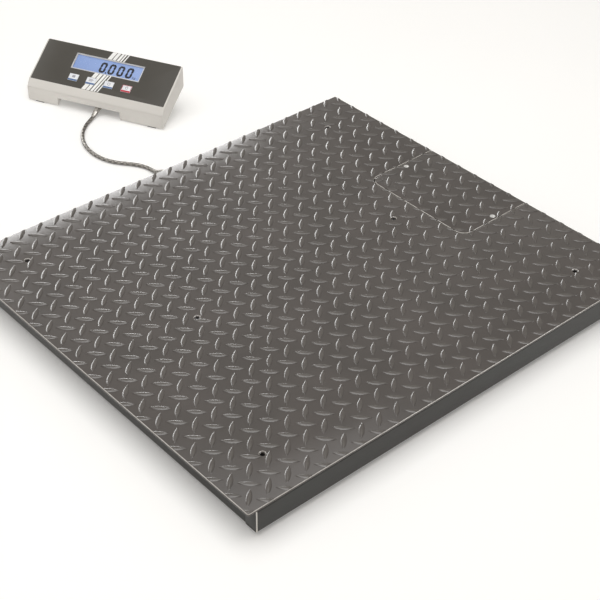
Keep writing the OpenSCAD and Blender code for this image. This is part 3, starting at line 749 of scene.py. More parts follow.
class Surface(Enum):
    """The finishes of the scale's pieces."""

    # Hammered grey lacquer over hot-rolled tread plate: warm, half matt, rubbed on the crowns, with a painted
    # highlight on its rounded edges
    TREAD = TreadPaint("lacquered_tread_plate", "#4c4845", "#544f4c", 90, 2.2, 0.012, (0.18, 0.27))
    # The same lacquer sprayed on folded sheet: darker and smoother, with a painted highlight down the outer corners
    FRAME = PaintedCornerHighlight("lacquered_sheet_steel", "#34312f", "#373836", 160, 1.6, 0.02, (0.3, 0.42), specular=0.35)
    # Bright zinc plating: pale blue-grey with faint crystals
    ZINC = Finish("zinc_plated_steel", "#c9ccd0", "#b3b6ba", 8, 0.8, 0.01, (0.22, 0.38), metallic=1.0)
    # Stainless countersunk screws: bright, finely brushed
    BRIGHT = Finish("stainless_steel", "#e4e3e0", "#cfcfce", 5, 0.4, 0.006, (0.15, 0.28), metallic=1.0)
    # Milled aluminium alloy of the load cells: long tool marks across the beam
    MILLED = Finish("milled_aluminium", "#c4c6c8", "#b4b6b9", 40, 0.5, 0.012, (0.28, 0.42), metallic=1.0,
                    stretch=(8, 1, 1))
    # Blackened steel of the spacer blocks: dark oxide, slightly oily
    BLACKENED = Finish("blackened_steel", "#33322f", "#3d3b38", 14, 1.0, 0.02, (0.35, 0.5), specular=0.6)
    # Nickel-plated brass of the cable glands: warm and smooth
    NICKEL = Finish("nickel_plated_brass", "#b9b4a8", "#a8a398", 6, 0.6, 0.006, (0.2, 0.32), metallic=1.0)
    # Braided steel sheath: mid grey wires with painted shade in the gaps
    SHEATH = SheathWeave("braided_steel_sheath", "#b4b0aa", "#95918b", 6, 0.5, 0.02, (0.24, 0.34), metallic=1.0)
    # Crimped ferrule, drawn steel
    FERRULE = Finish("drawn_steel", "#b5b2ad", "#8f8c87", 5, 0.5, 0.01, (0.2, 0.34), metallic=1.0)
    # Moulded rubber of the soles and pads: almost black, matt, chalky
    RUBBER = Finish("moulded_rubber", "#1d1c1b", "#262524", 12, 0.7, 0.05, (0.7, 0.85), specular=0.3)
    # Spark-eroded ABS of the display case: off-white with a fine even grain
    SHELL = Finish("moulded_abs", "#d9d6d1", "#dcd9d4", 120, 0.8, 0.02, (0.42, 0.52), specular=0.4)
    # Printed polyester film of the display face: warm grey, silky
    FILM = Finish("printed_polyester_film", "#46433d", "#4a4741", 80, 0.5, 0.006, (0.38, 0.46), specular=0.3)
    # White screen print on the film and the key tops
    WHITE_INK = Finish("white_screen_print", "#f4f4f2", "#efefee", 30, 0.4, 0.004, (0.45, 0.55), specular=0.35)
    # Pale border round the window
    PALE_INK = Finish("pale_screen_print", "#c9ccd2", "#c1c5cd", 30, 0.4, 0.004, (0.45, 0.55), specular=0.35)
    # Embossed key tops, glossy white with a cold tinge
    KEY_TOP = Finish("embossed_key_top", "#eceef2", "#e4e7ee", 18, 0.6, 0.008, (0.3, 0.4))
    # Blue and red prints of the keys, and their grey symbols
    BLUE_INK = Finish("blue_screen_print", "#4f6f9f", "#5a7aa9", 20, 0.4, 0.004, (0.4, 0.5))
    RED_INK = Finish("red_screen_print", "#c3233d", "#b81f37", 20, 0.4, 0.004, (0.4, 0.5))
    GREY_INK = Finish("grey_screen_print", "#9a9aa4", "#a5a5ae", 20, 0.4, 0.004, (0.4, 0.5))
    # Backlit screen and its dark segments
    SCREEN = LitScreen("backlit_lcd_glass", "#7f95c0", "#6d84b4", 60, 0.6, 0.002, (0.3, 0.4), glow=0.45)
    SEGMENT = Finish("lcd_segments", "#070b18", "#0a0f20", 20, 0.4, 0.002, (0.4, 0.5), specular=0.2)
    PANE = ClearSheet("hard_coated_window", "#eef2fa", "#e8edf8", 60, 1.0, 0.001, (0.06, 0.12))
    DIFFUSER = Finish("opal_light_guide", "#eef0f2", "#e6e9ee", 40, 0.8, 0.01, (0.5, 0.6))
    BOARD = CircuitBoard("solder_masked_board", "#1e5a34", "#236339", 20, 0.8, 0.02, (0.35, 0.45))
    # Black nylon and switch bodies: slightly grainy
    NYLON = Finish("moulded_nylon", "#232325", "#2a2a2c", 20, 0.7, 0.03, (0.45, 0.6), specular=0.4)
    # PVC jacket of the inner leads: satin black, faintly uneven
    JACKET = Finish("pvc_jacket", "#1f1f20", "#272728", 25, 1.2, 0.03, (0.4, 0.5))
    # Shrink sleeve of the cells, with a coppery tinge
    CELL = Finish("battery_sleeve", "#8a6a34", "#7b5e2e", 10, 0.9, 0.01, (0.3, 0.42), coat=0.3)
    JUNCTION = Finish("grey_polycarbonate", "#b9bbb9", "#b1b3b1", 60, 0.9, 0.03, (0.45, 0.58), specular=0.4)
    # White matt studio floor that gives off a little light of its own
    FLOOR = Finish("studio_floor", "#f8f8f7", "#f6f6f5", 900, 12, 0.02, (0.75, 0.85), specular=0.1, shine=0.14)

    def material(self) -> bpy.types.Material:
        """The finish's material, made once."""
        return bpy.data.materials.get(self.value.name) or self.value.build()

    def on(self, thing: Thing) -> Thing:
        """Dresses an object in this finish.

        Args:
            thing: The object.

        Returns:
            The same object.
        """
        thing.data.materials.clear()
        thing.data.materials.append(self.material())
        for face in thing.data.polygons:
            face.material_index = 0
        return thing


def hand_over(thing: Thing, surface: Surface, body: str, *nodes: str) -> Thing:
    """Finishes a piece: its surface, the body it rides on and the nodes it stands for.

    Args:
        thing: The piece.
        surface: Its finish.
        body: The body it rides on.
        *nodes: CAD nodes that it replaces.

    Returns:
        The same piece.
    """
    surface.on(thing)
    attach(thing, body)
    if nodes:
        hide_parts(*nodes)
    log.info("%s: %d faces, on %s", thing.name, len(thing.data.polygons), body)
    return thing


# ---------- studio ----------


@dataclass(frozen=True)
class Softbox:
    """A soft light: where it hangs, what it points at, its size in metres and its power in watts."""

    name: str
    place: Point
    aim: Point
    size: tuple[float, float]
    power: float
    gloss_only: bool = False


@dataclass
class Studio:
    """Pale floor, soft light and the camera."""

    eye: Point = (-1473.9, -1668.4, 1675.8)
    aim: Point = (-176.9, -161.3, 160.5)
    roll: float = 0.2
    lens: float = 85.05
    shift: float = 0.025
    sky: float = 0.5
    sky_colour: str = "#fffaf3"
    floor_m: float = 30.0
    boxes: tuple[Softbox, ...] = (
        Softbox("overhead_softbox", (-0.3, 0.2, 3.2), (0, 0.2, 0), (3.6, 3.6), 72.0),
        Softbox("low_back_softbox", (0.9, 4.2, 1.1), (0, 0, 0.1), (4.4, 1.1), 130.0, True),
        Softbox("right_front_softbox", (3.2, -3.4, 3.2), (0, 0, 0), (2.2, 2.2), 170.0, True),
        Softbox("left_back_softbox", (-3.4, 3.2, 2.9), (0, 0, 0), (1.6, 1.2), 35.0, True),
        Softbox("top_softbox", (-0.8, -0.5, 3.4), (-0.3, -0.2, 0), (1.7, 1.3), 22.0, True),
    )

    def camera(self) -> None:
        """Adds the camera."""
        look = (Vector(self.aim) - Vector(self.eye)).to_track_quat("-Z", "Y")
        turn = look.to_matrix().to_4x4() @ Matrix.Rotation(math.radians(self.roll), 4, "Z")
        bpy.ops.object.camera_add(location=Vector(self.eye) * MM, rotation=turn.to_euler())
        camera = bpy.context.object
        camera.data.lens = self.lens
        camera.data.shift_x = self.shift
        camera.data.clip_end = 50
        bpy.context.scene.camera = camera

    def lights(self) -> None:
        """Adds an even white surround and the softboxes."""
        world = bpy.data.worlds.new("white_surround")
        world.use_nodes = True
        world.node_tree.nodes["Background"].inputs["Color"].default_value = linear(self.sky_colour)
        world.node_tree.nodes["Background"].inputs["Strength"].default_value = self.sky
        bpy.context.scene.world = world
        for box in self.boxes:
            turn = (Vector(box.aim) - Vector(box.place)).to_track_quat("-Z", "Y").to_euler()
            bpy.ops.object.light_add(type="AREA", location=box.place, rotation=turn)
            light = bpy.context.object
            light.name = box.name
            light.data.shape = "RECTANGLE"
            light.data.size, light.data.size_y = box.size
            light.data.energy = box.power
            light.visible_diffuse = not box.gloss_only
            light.visible_camera = False

    def floor(self) -> None:
        """Adds the floor."""
        bpy.ops.mesh.primitive_plane_add(size=self.floor_m)
        floor = Bench.name(bpy.context.object, "floor")
        Surface.FLOOR.on(floor)

    def build(self) -> None:
        """Sets the studio up."""
        bpy.context.scene.view_settings.view_transform = "Standard"
        self.camera()
        self.lights()
        self.floor()


# ---------- signal cable ----------


@dataclass
class SignalCable:
    """The metal-sheathed cable from the platform's rear gland to the display."""

    radius: float = 4.25
    relief: float = 0.75
    carriers: int = 6
    sides: int = 36
    ring_gap: float = 0.8
    ferrule_r: float = 6.5
    ferrule_l: float = 24.0
    ferrule_at: float = 25.4
    sleeve: float = 6.0
    grooves: Point = (2.6, 5.0, 7.4)
    route: tuple[Point, ...] = (
        (35, 472, 30), (35, 478, 30), (35, 485, 30), (36, 498, 25), (38, 512, 17), (40, 526, 9),
        (41, 542, 5), (38, 562, 4.5), (29, 582, 4.5), (16, 600, 4.5), (2, 618, 4.5), (-9, 638, 4.5),
        (-16, 661, 4.5), (-18, 685, 4.5), (-16, 709, 4.5), (-10, 732, 4.5), (0, 754, 4.5),
        (13, 774, 4.5), (29, 791, 4.5), (44, 803, 4.5), (57, 811, 4.6))

    def centreline(self) -> list[Vector]:
        """Points along the cable's middle, close together.

        Returns:
            Points in metres, about a ring gap apart.
        """
        place = PLACES.at_outlet()
        ends = [place @ (Vector((0, 0, self.ferrule_at + self.ferrule_l + past)) * MM) for past in (self.sleeve, 0)]
        knots = [Vector(p) * MM for p in self.route] + ends
        made: list[Vector] = []
        for i in range(len(knots) - 1):
            a, b = knots[max(i - 1, 0)], knots[i]
            c, d = knots[i + 1], knots[min(i + 2, len(knots) - 1)]
            count = max(2, round((c - b).length / (self.ring_gap * MM)))
            for k in range(count):
                t = k / count
                made.append(0.5 * (2 * b + (c - a) * t + (2 * a - 5 * b + 4 * c - d) * t * t
                                   + (3 * b - a - 3 * c + d) * t ** 3))
        return made + [knots[-1]]

    def weave(self, angle: float, along: float) -> float:
        """Height of the braid at one place.

        Args:
            angle: Angle round the cable.
            along: Distance along it in metres.

        Returns:
            0 in the gaps to 1 on a carrier's crown.
        """
        pitch = math.tau * self.radius * MM / self.carriers
        left = self.carriers * angle + math.tau * along / pitch
        right = self.carriers * angle - math.tau * along / pitch
        over = math.cos((left + right) / 2) * math.cos((left - right) / 2) > 0
        return abs(math.cos(left / 2)) if over else abs(math.cos(right / 2))

    def sheath(self) -> tuple[Thing, list[Vector], float]:
        """Sweeps the braided tube along the centreline.

        Returns:
            The tube, its centreline and its length in metres.
        """
        line = self.centreline()
        verts: list[Vector] = []
        runs: list[float] = []
        along = 0.0
        for i, point in enumerate(line):
            if i:
                along += (point - line[i - 1]).length
            ahead = (line[min(i + 1, len(line) - 1)] - line[max(i - 1, 0)]).normalized()
            side = Vector((0, 0, 1)).cross(ahead).normalized()
            up = ahead.cross(side)
            runs.append(along)
            for k in range(self.sides):
                angle = math.tau * k / self.sides
                radius = self.radius - self.relief * (1 - self.weave(angle, along))
                verts.append(point + radius * MM * (math.cos(angle) * side + math.sin(angle) * up))
        n, last = self.sides, len(line) - 1
        faces = [(i * n + k, i * n + (k + 1) % n, (i + 1) * n + (k + 1) % n, (i + 1) * n + k)
                 for i in range(last) for k in range(n)]
        faces += [tuple(reversed(range(n))), tuple(last * n + k for k in range(n))]
        mesh = bpy.data.meshes.new("braided_signal_cable")
        mesh.from_pydata([tuple(v) for v in verts], [], faces)
        sheath = bpy.data.objects.new("braided_signal_cable", mesh)
        bpy.context.scene.collection.objects.link(sheath)
        self.unwrap(mesh, runs)
        Bench.shade(sheath, 60)
        return sheath, line, along

    def unwrap(self, mesh: bpy.types.Mesh, runs: Sequence[float]) -> None:
        """Maps the sheath: metres round it and metres along it.

        Args:
            mesh: The sheath's mesh.
            runs: Distance along the cable at each ring.
        """
        around = math.tau * self.radius * MM
        uv = mesh.uv_layers.new(name="sheath")
        for face in mesh.polygons:
            wrap = face.index % self.sides == self.sides - 1
            for loop in face.loop_indices:
                vertex = mesh.loops[loop].vertex_index
                side = vertex % self.sides
                share = 1.0 if wrap and side == 0 else side / self.sides
                uv.data[loop].uv = (share * around, runs[vertex // self.sides])

    def ferrule(self) -> Thing:
        """Turns the crimped ferrule with its three pressed grooves."""
        r, end = self.ferrule_r, self.ferrule_l
        profile = [(0, 0), (r - 0.6, 0), (r, 0.6)]
        for z in self.grooves:
            profile += [(r, z - 0.7), (r - 0.55, z - 0.25), (r - 0.55, z + 0.25), (r, z + 0.7)]
        profile += [(r, 8.9), (r - 1.0, 9.6), (r - 1.0, 10.8), (r - 0.4, 11.6)]
        profile += [(r - 0.6, 15), (r - 1.1, 19), (self.radius + 0.9, end - 0.5),
                    (self.radius + 0.5, end), (0, end)]
        piece = Bench.turned("crimped_ferrule", profile)
        place = PLACES.at_outlet() @ Matrix.Translation((0, 0, self.ferrule_at * MM))
        return Bench.shade(Bench.settle(piece, place), 30)

    def build(self) -> None:
        """Makes the cable with its ferrule and glands."""
        sheath, line, length = self.sheath()
        hand_over(sheath, Surface.SHEATH, "platform", "signal_cable")
        ferrule = hand_over(self.ferrule(), Surface.FERRULE, "platform", "cable_ferrule")
        for node, name in (("skirt_gland", "rear_gland"), ("skirt_gland_nut", "rear_gland_nut"),
                           ("display_gland", "outlet_gland")):
            hand_over(Bench.from_node(node, name, 0.35), Surface.NICKEL, "platform", node)


# ---------- platform ----------


@dataclass
class TreadPattern:
    """Almond lugs in two crossing rows, rolled into the deck."""

    length: float = 42.0
    width: float = 11.0
    height: float = 1.5
    sunk: float = 0.2
    deck_h: float = 64.0
    pitch_x: float = 40.75
    pitch_y: float = 47.87
    first_rise: tuple[float, float] = (-515.5, -469.4)
    first_fall: tuple[float, float] = (-535.5, -445.3)
    count: tuple[int, int] = (27, 20)
    arc_sides: int = 60
    shoulder: tuple[float, float] = (0.88, 0.64)
    crown: tuple[float, float] = (0.9, 0.5)
    crown_share: float = 0.2

    def lug(self, name: str, angle: float, at: tuple[float, float]) -> Thing:
        """Shapes one lug from half a disc, mirrored and drawn up in two steps.

        Args:
            name: Name of the lug.
            angle: Direction of its long axis from X, in degrees.
            at: Its middle on the deck.

        Returns:
            The lug.
        """
        half_l, half_w = self.length / 2, self.width / 2
        radius = (half_l ** 2 + half_w ** 2) / (2 * half_w)
        bpy.ops.mesh.primitive_circle_add(vertices=self.arc_sides, radius=radius * MM, fill_type="NGON",
                                          location=(0, (half_w - radius) * MM, 0))
        lug = Bench.settle(Bench.name(bpy.context.object, name))
        with Bench.editing(lug, everything=True):
            bpy.ops.mesh.bisect(plane_co=(0, 0, 0), plane_no=(0, -1, 0), clear_outer=True, threshold=1e-7)
        Bench.apply(lug, "MIRROR", use_axis=(False, True, False), merge_threshold=1e-6)
        with Bench.editing(lug, everything=True):
            bpy.ops.mesh.dissolve_limited(angle_limit=0.01)
            for rise, (along, across) in ((self.sunk + (1 - self.crown_share) * self.height, self.shoulder),
                                          (self.crown_share * self.height, self.crown)):
                bpy.ops.mesh.extrude_region_move(TRANSFORM_OT_translate={"value": (0, 0, rise * MM)})
                bpy.ops.transform.resize(value=(along, across, 1), center_override=(0, 0, 0))
            bpy.ops.mesh.select_all(action="SELECT")
            bpy.ops.mesh.normals_make_consistent(inside=False)
        turn = Matrix.Rotation(math.radians(angle), 4, "Z")
        seat = Matrix.Translation(Vector((at[0], at[1], self.deck_h - self.sunk)) * MM)
        return Bench.settle(lug, seat @ turn)

    def field(self) -> Thing:
        """Repeats the two lugs over the whole deck.

        Returns:
            All the lugs, wider than the deck.
        """
        rows = []
        for name, angle, first in (("rise", 45, self.first_rise), ("fall", -45, self.first_fall)):
            lug = self.lug(name, angle, first)
            for count, step in ((self.count[0], (self.pitch_x, 0, 0)), (self.count[1], (0, self.pitch_y, 0))):
                Bench.apply(lug, "ARRAY", count=count, use_relative_offset=False, use_constant_offset=True,
                            constant_offset_displace=Vector(step) * MM)
            rows.append(lug)
        return Bench.join("tread_lugs", rows)


@dataclass
class Deck:
    """The tread-plate deck with its hatch cover, holes and lugs."""

    half_l: float = 500.0
    half_w: float = 450.0
    low: float = 59.0
    top: float = 64.0
    corner: float = 4.0
    edge: float = 1.5
    hatch_x: float = 313.0
    hatch_half: float = 137.0
    hatch_r: float = 25.0
    gap: float = 1.5
    hole_r: float = 4.25
    sink_r: float = 6.5
    holes: tuple[tuple[float, float], ...] = (
        (-393, -357), (393, -357), (-393, 357), (393, 357), (-252, 0), (252, 0))
    screws: tuple[tuple[float, float], ...] = ((411, -125), (411, 125))
    screw_r: float = 5.6
    seam_margin: float = 8.0
    clear: float = 0.6

    def hatch_block(self, name: str, gap: float, low: float, high: float, past: float) -> Thing:
        """A block in the hatch's outline, its inner corners rounded.

        Args:
            name: Name of the block.
            gap: How far it stays inside the opening.
            low: Its lower face.
            high: Its upper face.
            past: How far it runs past the deck's end.

        Returns:
            The block.
        """
        x0, half = self.hatch_x + gap, self.hatch_half - gap
        piece = Bench.block(name, (x0, -half, low), (self.half_l + past, half, high))
        return Bench.round_edges(piece, self.hatch_r - gap, lambda p: p.x < x0 + 1 and abs(p.y) > half - 1, 10)

    def drills(self, places: Sequence[tuple[float, float]], radius: float, sink: float, depth: float) -> Thing:
        """Drills with a countersink, joined into one cutter.

        Args:
            places: Where they go through.
            radius: Radius of the hole.
            sink: Radius of the countersink at the top.
            depth: Depth of the countersink.

        Returns:
            The cutter.
        """
        profile = [(0, self.low - 4), (radius, self.low - 4), (radius, self.top - depth),
                   (sink, self.top), (sink, self.top + 4), (0, self.top + 4)]
        made = []
        for x, y in places:
            drill = Bench.turned("drill", profile, 36)
            made.append(Bench.settle(drill, Matrix.Translation((x * MM, y * MM, 0))))
        return Bench.join("drills", made)

    def sheet(self) -> Thing:
        """Cuts and edges the deck sheet."""
        l, w = self.half_l, self.half_w
        sheet = Bench.block("deck_sheet", (-l, -w, self.low), (l, w, self.top))
        Bench.round_edges(sheet, self.corner, lambda p: abs(p.x) > l - 1 and abs(p.y) > w - 1, 6)
        Bench.carve(sheet, self.hatch_block("opening", 0, self.low - 5, self.top + 5, 20))
        Bench.soften(sheet, self.edge, 3, 30)
        Bench.carve(sheet, self.drills(self.holes, self.hole_r, self.sink_r, 2.0))
        return Bench.shade(sheet)

    def cover(self) -> Thing:
        """Cuts and edges the hatch cover."""
        cover = self.hatch_block("hatch_sheet", self.gap, self.low, self.top, 0)
        Bench.soften(cover, self.edge, 3, 30)
        Bench.carve(cover, self.drills(self.screws, 3.2, self.screw_r + 0.15, 2.7))
        return Bench.shade(cover)

    def screw(self, place: tuple[float, float]) -> Thing:
        """Turns one countersunk screw and cuts its hexagon socket.

        Args:
            place: Its middle on the deck.

        Returns:
            The screw.
        """
        r, top = self.screw_r, self.top
        profile = [(0, self.low - 3), (2.9, self.low - 3), (2.9, top - 2.6), (r, top - 0.25),
                   (r - 0.15, top - 0.05), (3.6, top), (3.0, top - 0.25), (0, top - 0.25)]
        screw = Bench.turned("screw", profile, 32)
        Bench.carve(screw, Bench.rod("key", (0, 0, top - 1.8), 2.4, 3, 6))
        return Bench.settle(screw, Matrix.Translation((place[0] * MM, place[1] * MM, 0)))

    def lugs(self) -> tuple[Thing, Thing]:
        """Trims the lugs to the deck, the hatch seam and the holes.

        Returns:
            The lugs of the deck and those of the hatch cover.
        """
        deck_lugs = TreadPattern().field()
        for outward in ((1, 0, 0), (-1, 0, 0), (0, 1, 0), (0, -1, 0)):
            reach = (self.half_l if outward[0] else self.half_w) - self.edge
            Bench.slice(deck_lugs, [reach * a for a in outward], outward)
        hatch_edge, hatch_side = self.hatch_x - self.seam_margin, self.hatch_half + self.seam_margin
        near = Bench.detach(deck_lugs, lambda p: p.x > hatch_edge and abs(p.y) < hatch_side, "near_hatch")
        cover_lugs = Bench.copy(near, "hatch_lugs")
        high = self.top + 5
        Bench.carve(near, self.hatch_block("seam", -self.clear, self.low, high, 20))
        Bench.carve(cover_lugs, self.hatch_block("rim", self.gap + self.clear, self.low, high, 20), "INTERSECT")
        Bench.carve(cover_lugs, self.drills(self.screws, self.screw_r + 1, self.screw_r + 1, 1))
        pierced = Bench.detach(
            deck_lugs, lambda p: any(math.hypot(p.x - x, p.y - y) < 11 for x, y in self.holes), "pierced")
        Bench.carve(pierced, self.drills(self.holes, self.sink_r + self.clear, self.sink_r + self.clear, 1))
        deck_lugs = Bench.join("tread_lugs", [deck_lugs, near, pierced])
        return Bench.shade(deck_lugs, 50), Bench.shade(cover_lugs, 50)

    def build(self) -> None:
        """Makes the deck, the hatch cover and their lugs and screws."""
        hand_over(self.sheet(), Surface.TREAD, "platform", "deck_plate")
        hand_over(self.cover(), Surface.TREAD, "hatch", "hatch_cover")
        deck_lugs, hatch_lugs = self.lugs()
        hand_over(deck_lugs, Surface.TREAD, "platform")
        hand_over(hatch_lugs, Surface.TREAD, "hatch")
        screws = Bench.join("hatch_socket_screws", [self.screw(p) for p in self.screws])
        hand_over(Bench.shade(screws, 30), Surface.BRIGHT, "hatch", "hatch_screws")


@dataclass
class Skirt:
    """The folded channels round the frame."""

    half_x: float = 482.0
    half_y: float = 449.0
    low: float = 10.0
    high: float = 59.0
    flange: float = 29.0
    wall: float = 3.0
    fold_r: float = 4.5
    gland: Point = (35.0, 449.0, 30.0)
    gland_r: float = 7.95
    corner_r: float = 2.2
    tab_gap: float = 0.3

    def fold(self, name: str, half: float, web_half: float, reach: float) -> Thing:
        """Folds one channel along X with its web on the -Y side.

        Args:
            name: Name of the channel.
            half: Half the length of its flanges.
            web_half: Half the length of its web.
            reach: Distance of its web's outer face from the middle.

        Returns:
            The channel.
        """
        middle = (self.low + self.high) / 2
        piece = Bench.block(name, (-half, -reach, self.low), (half, -reach + self.flange, self.high))
        with Bench.editing(piece, faces=lambda p: p.y > -reach + self.flange - 0.1 or abs(p.x) > half - 0.1):
            bpy.ops.mesh.delete(type="FACE")
        Bench.round_edges(piece, self.fold_r,
                          lambda p: p.y < -reach + 0.1 and abs(p.z - middle) > middle - self.low - 0.5, 5)
        Bench.apply(piece, "SOLIDIFY", thickness=self.wall * MM, offset=-1, use_even_offset=True)
        if web_half > half:
            for s in (-1, 1):
                ends = sorted((s * half, s * web_half))
                tab = Bench.block("web_end", (ends[0], -reach, self.low + self.wall + self.tab_gap),
                                  (ends[1], -reach + self.wall, self.high - self.wall - self.tab_gap))
                piece = Bench.join(name, [piece, tab])
        return piece

    def side(self, name: str, s: int) -> Thing:
        """One side channel, its outer corners rounded; the frame finish paints a highlight on them.

        Args:
            name: Name of the channel.
            s: -1 for the front, 1 for the rear.

        Returns:
            The channel.
        """
        piece = self.fold(name, self.half_x, 0, self.half_y)
        Bench.round_edges(piece, self.corner_r,
                          lambda p: abs(p.x) > self.half_x - 0.1 and p.y < 0.1 - self.half_y, 4)
        if s > 0:
            Bench.settle(piece, Matrix.Rotation(math.pi, 4, "Z"))
            x, y, z = self.gland
            hole = Bench.settle(Bench.rod("hole", (0, 0, -8), self.gland_r, 16),
                                Matrix.Translation((x * MM, y * MM, z * MM)) @ Matrix.Rotation(math.pi / 2, 4, "X"))
            Bench.carve(piece, hole)
        return Bench.soften(piece, 0.4, 2, 50)

    def end(self, name: str, s: int) -> Thing:
        """One end channel between the side channels.

        Args:
            name: Name of the channel.
            s: -1 for the left, 1 for the right.

        Returns:
            The channel.
        """
        inner = self.half_y - self.flange
        piece = self.fold(name, inner, self.half_y - self.wall, self.half_x)
        Bench.settle(piece, Matrix.Rotation(s * math.pi / 2, 4, "Z"))
        return Bench.soften(piece, 0.4, 2, 50)

    def build(self) -> None:
        """Makes the four channels."""
        for name, s in (("front", -1), ("rear", 1)):
            hand_over(self.side(f"{name}_side_channel", s), Surface.FRAME, "platform", f"side_channel_{name}")
        for name, s in (("left", -1), ("right", 1)):
            hand_over(self.end(f"{name}_end_channel", s), Surface.FRAME, "platform", f"end_channel_{name}")


@dataclass
class HiddenWorks:
    """What sits under the deck and inside the case: kept from the frame, edges broken."""

    corners: tuple[str, ...] = ("front_left", "front_right", "rear_left", "rear_right")
    softened: tuple[tuple[str, Surface, float], ...] = (
        ("long_ribs", Surface.FRAME, 0.6), ("cross_ribs", Surface.FRAME, 0.6),
        ("hatch_ledge", Surface.FRAME, 0.5), ("box_tray", Surface.FRAME, 0.5),
        ("load_cell_blocks", Surface.BLACKENED, 0.5), ("load_cells", Surface.MILLED, 0.6),
        ("load_cell_bolts", Surface.ZINC, 0.4), ("jam_nuts", Surface.ZINC, 0.4), ("eye_nuts", Surface.ZINC, 0.4),
        ("junction_box", Surface.JUNCTION, 0.8), ("junction_lid", Surface.JUNCTION, 0.8),
        ("junction_lid_screws", Surface.ZINC, 0.2), ("junction_board", Surface.BOARD, 0.2),
        ("junction_glands", Surface.NYLON, 0.3), ("tilt_bracket", Surface.ZINC, 0.3),
        ("bracket_screws", Surface.ZINC, 0.2), ("display_feet", Surface.RUBBER, 0.6),
        ("case_screws", Surface.ZINC, 0.2), ("battery_door", Surface.SHELL, 0.3))
    foot: tuple[tuple[str, Surface, str, float], ...] = (
        ("stem", Surface.ZINC, "stem", 0.3), ("pad", Surface.ZINC, "foot", 0.5),
        ("sole", Surface.RUBBER, "foot", 0.7))
    kept: tuple[tuple[str, Surface], ...] = (
        ("load_cell_leads", Surface.JACKET), ("inner_signal_lead", Surface.JACKET), ("main_board", Surface.BOARD),
        ("key_switches", Surface.NYLON), ("lcd_backlight", Surface.DIFFUSER), ("batteries", Surface.CELL),
        ("battery_contacts", Surface.NICKEL))

    def build(self) -> None:
        """Dresses the hidden pieces."""
        for node, surface, width in self.softened:
            body = node if node == "battery_door" else "platform"
            hand_over(Bench.from_node(node, f"edged_{node}", width), surface, body, node)
        for corner in self.corners:
            for kind, surface, body, width in self.foot:
                node = f"foot_{kind}_{corner}"
                hand_over(Bench.from_node(node, f"edged_{node}", width), surface, f"{body}_{corner}", node)
        for node, surface in self.kept:
            surface.on(frame["nodes"][node])


# ---------- display unit ----------


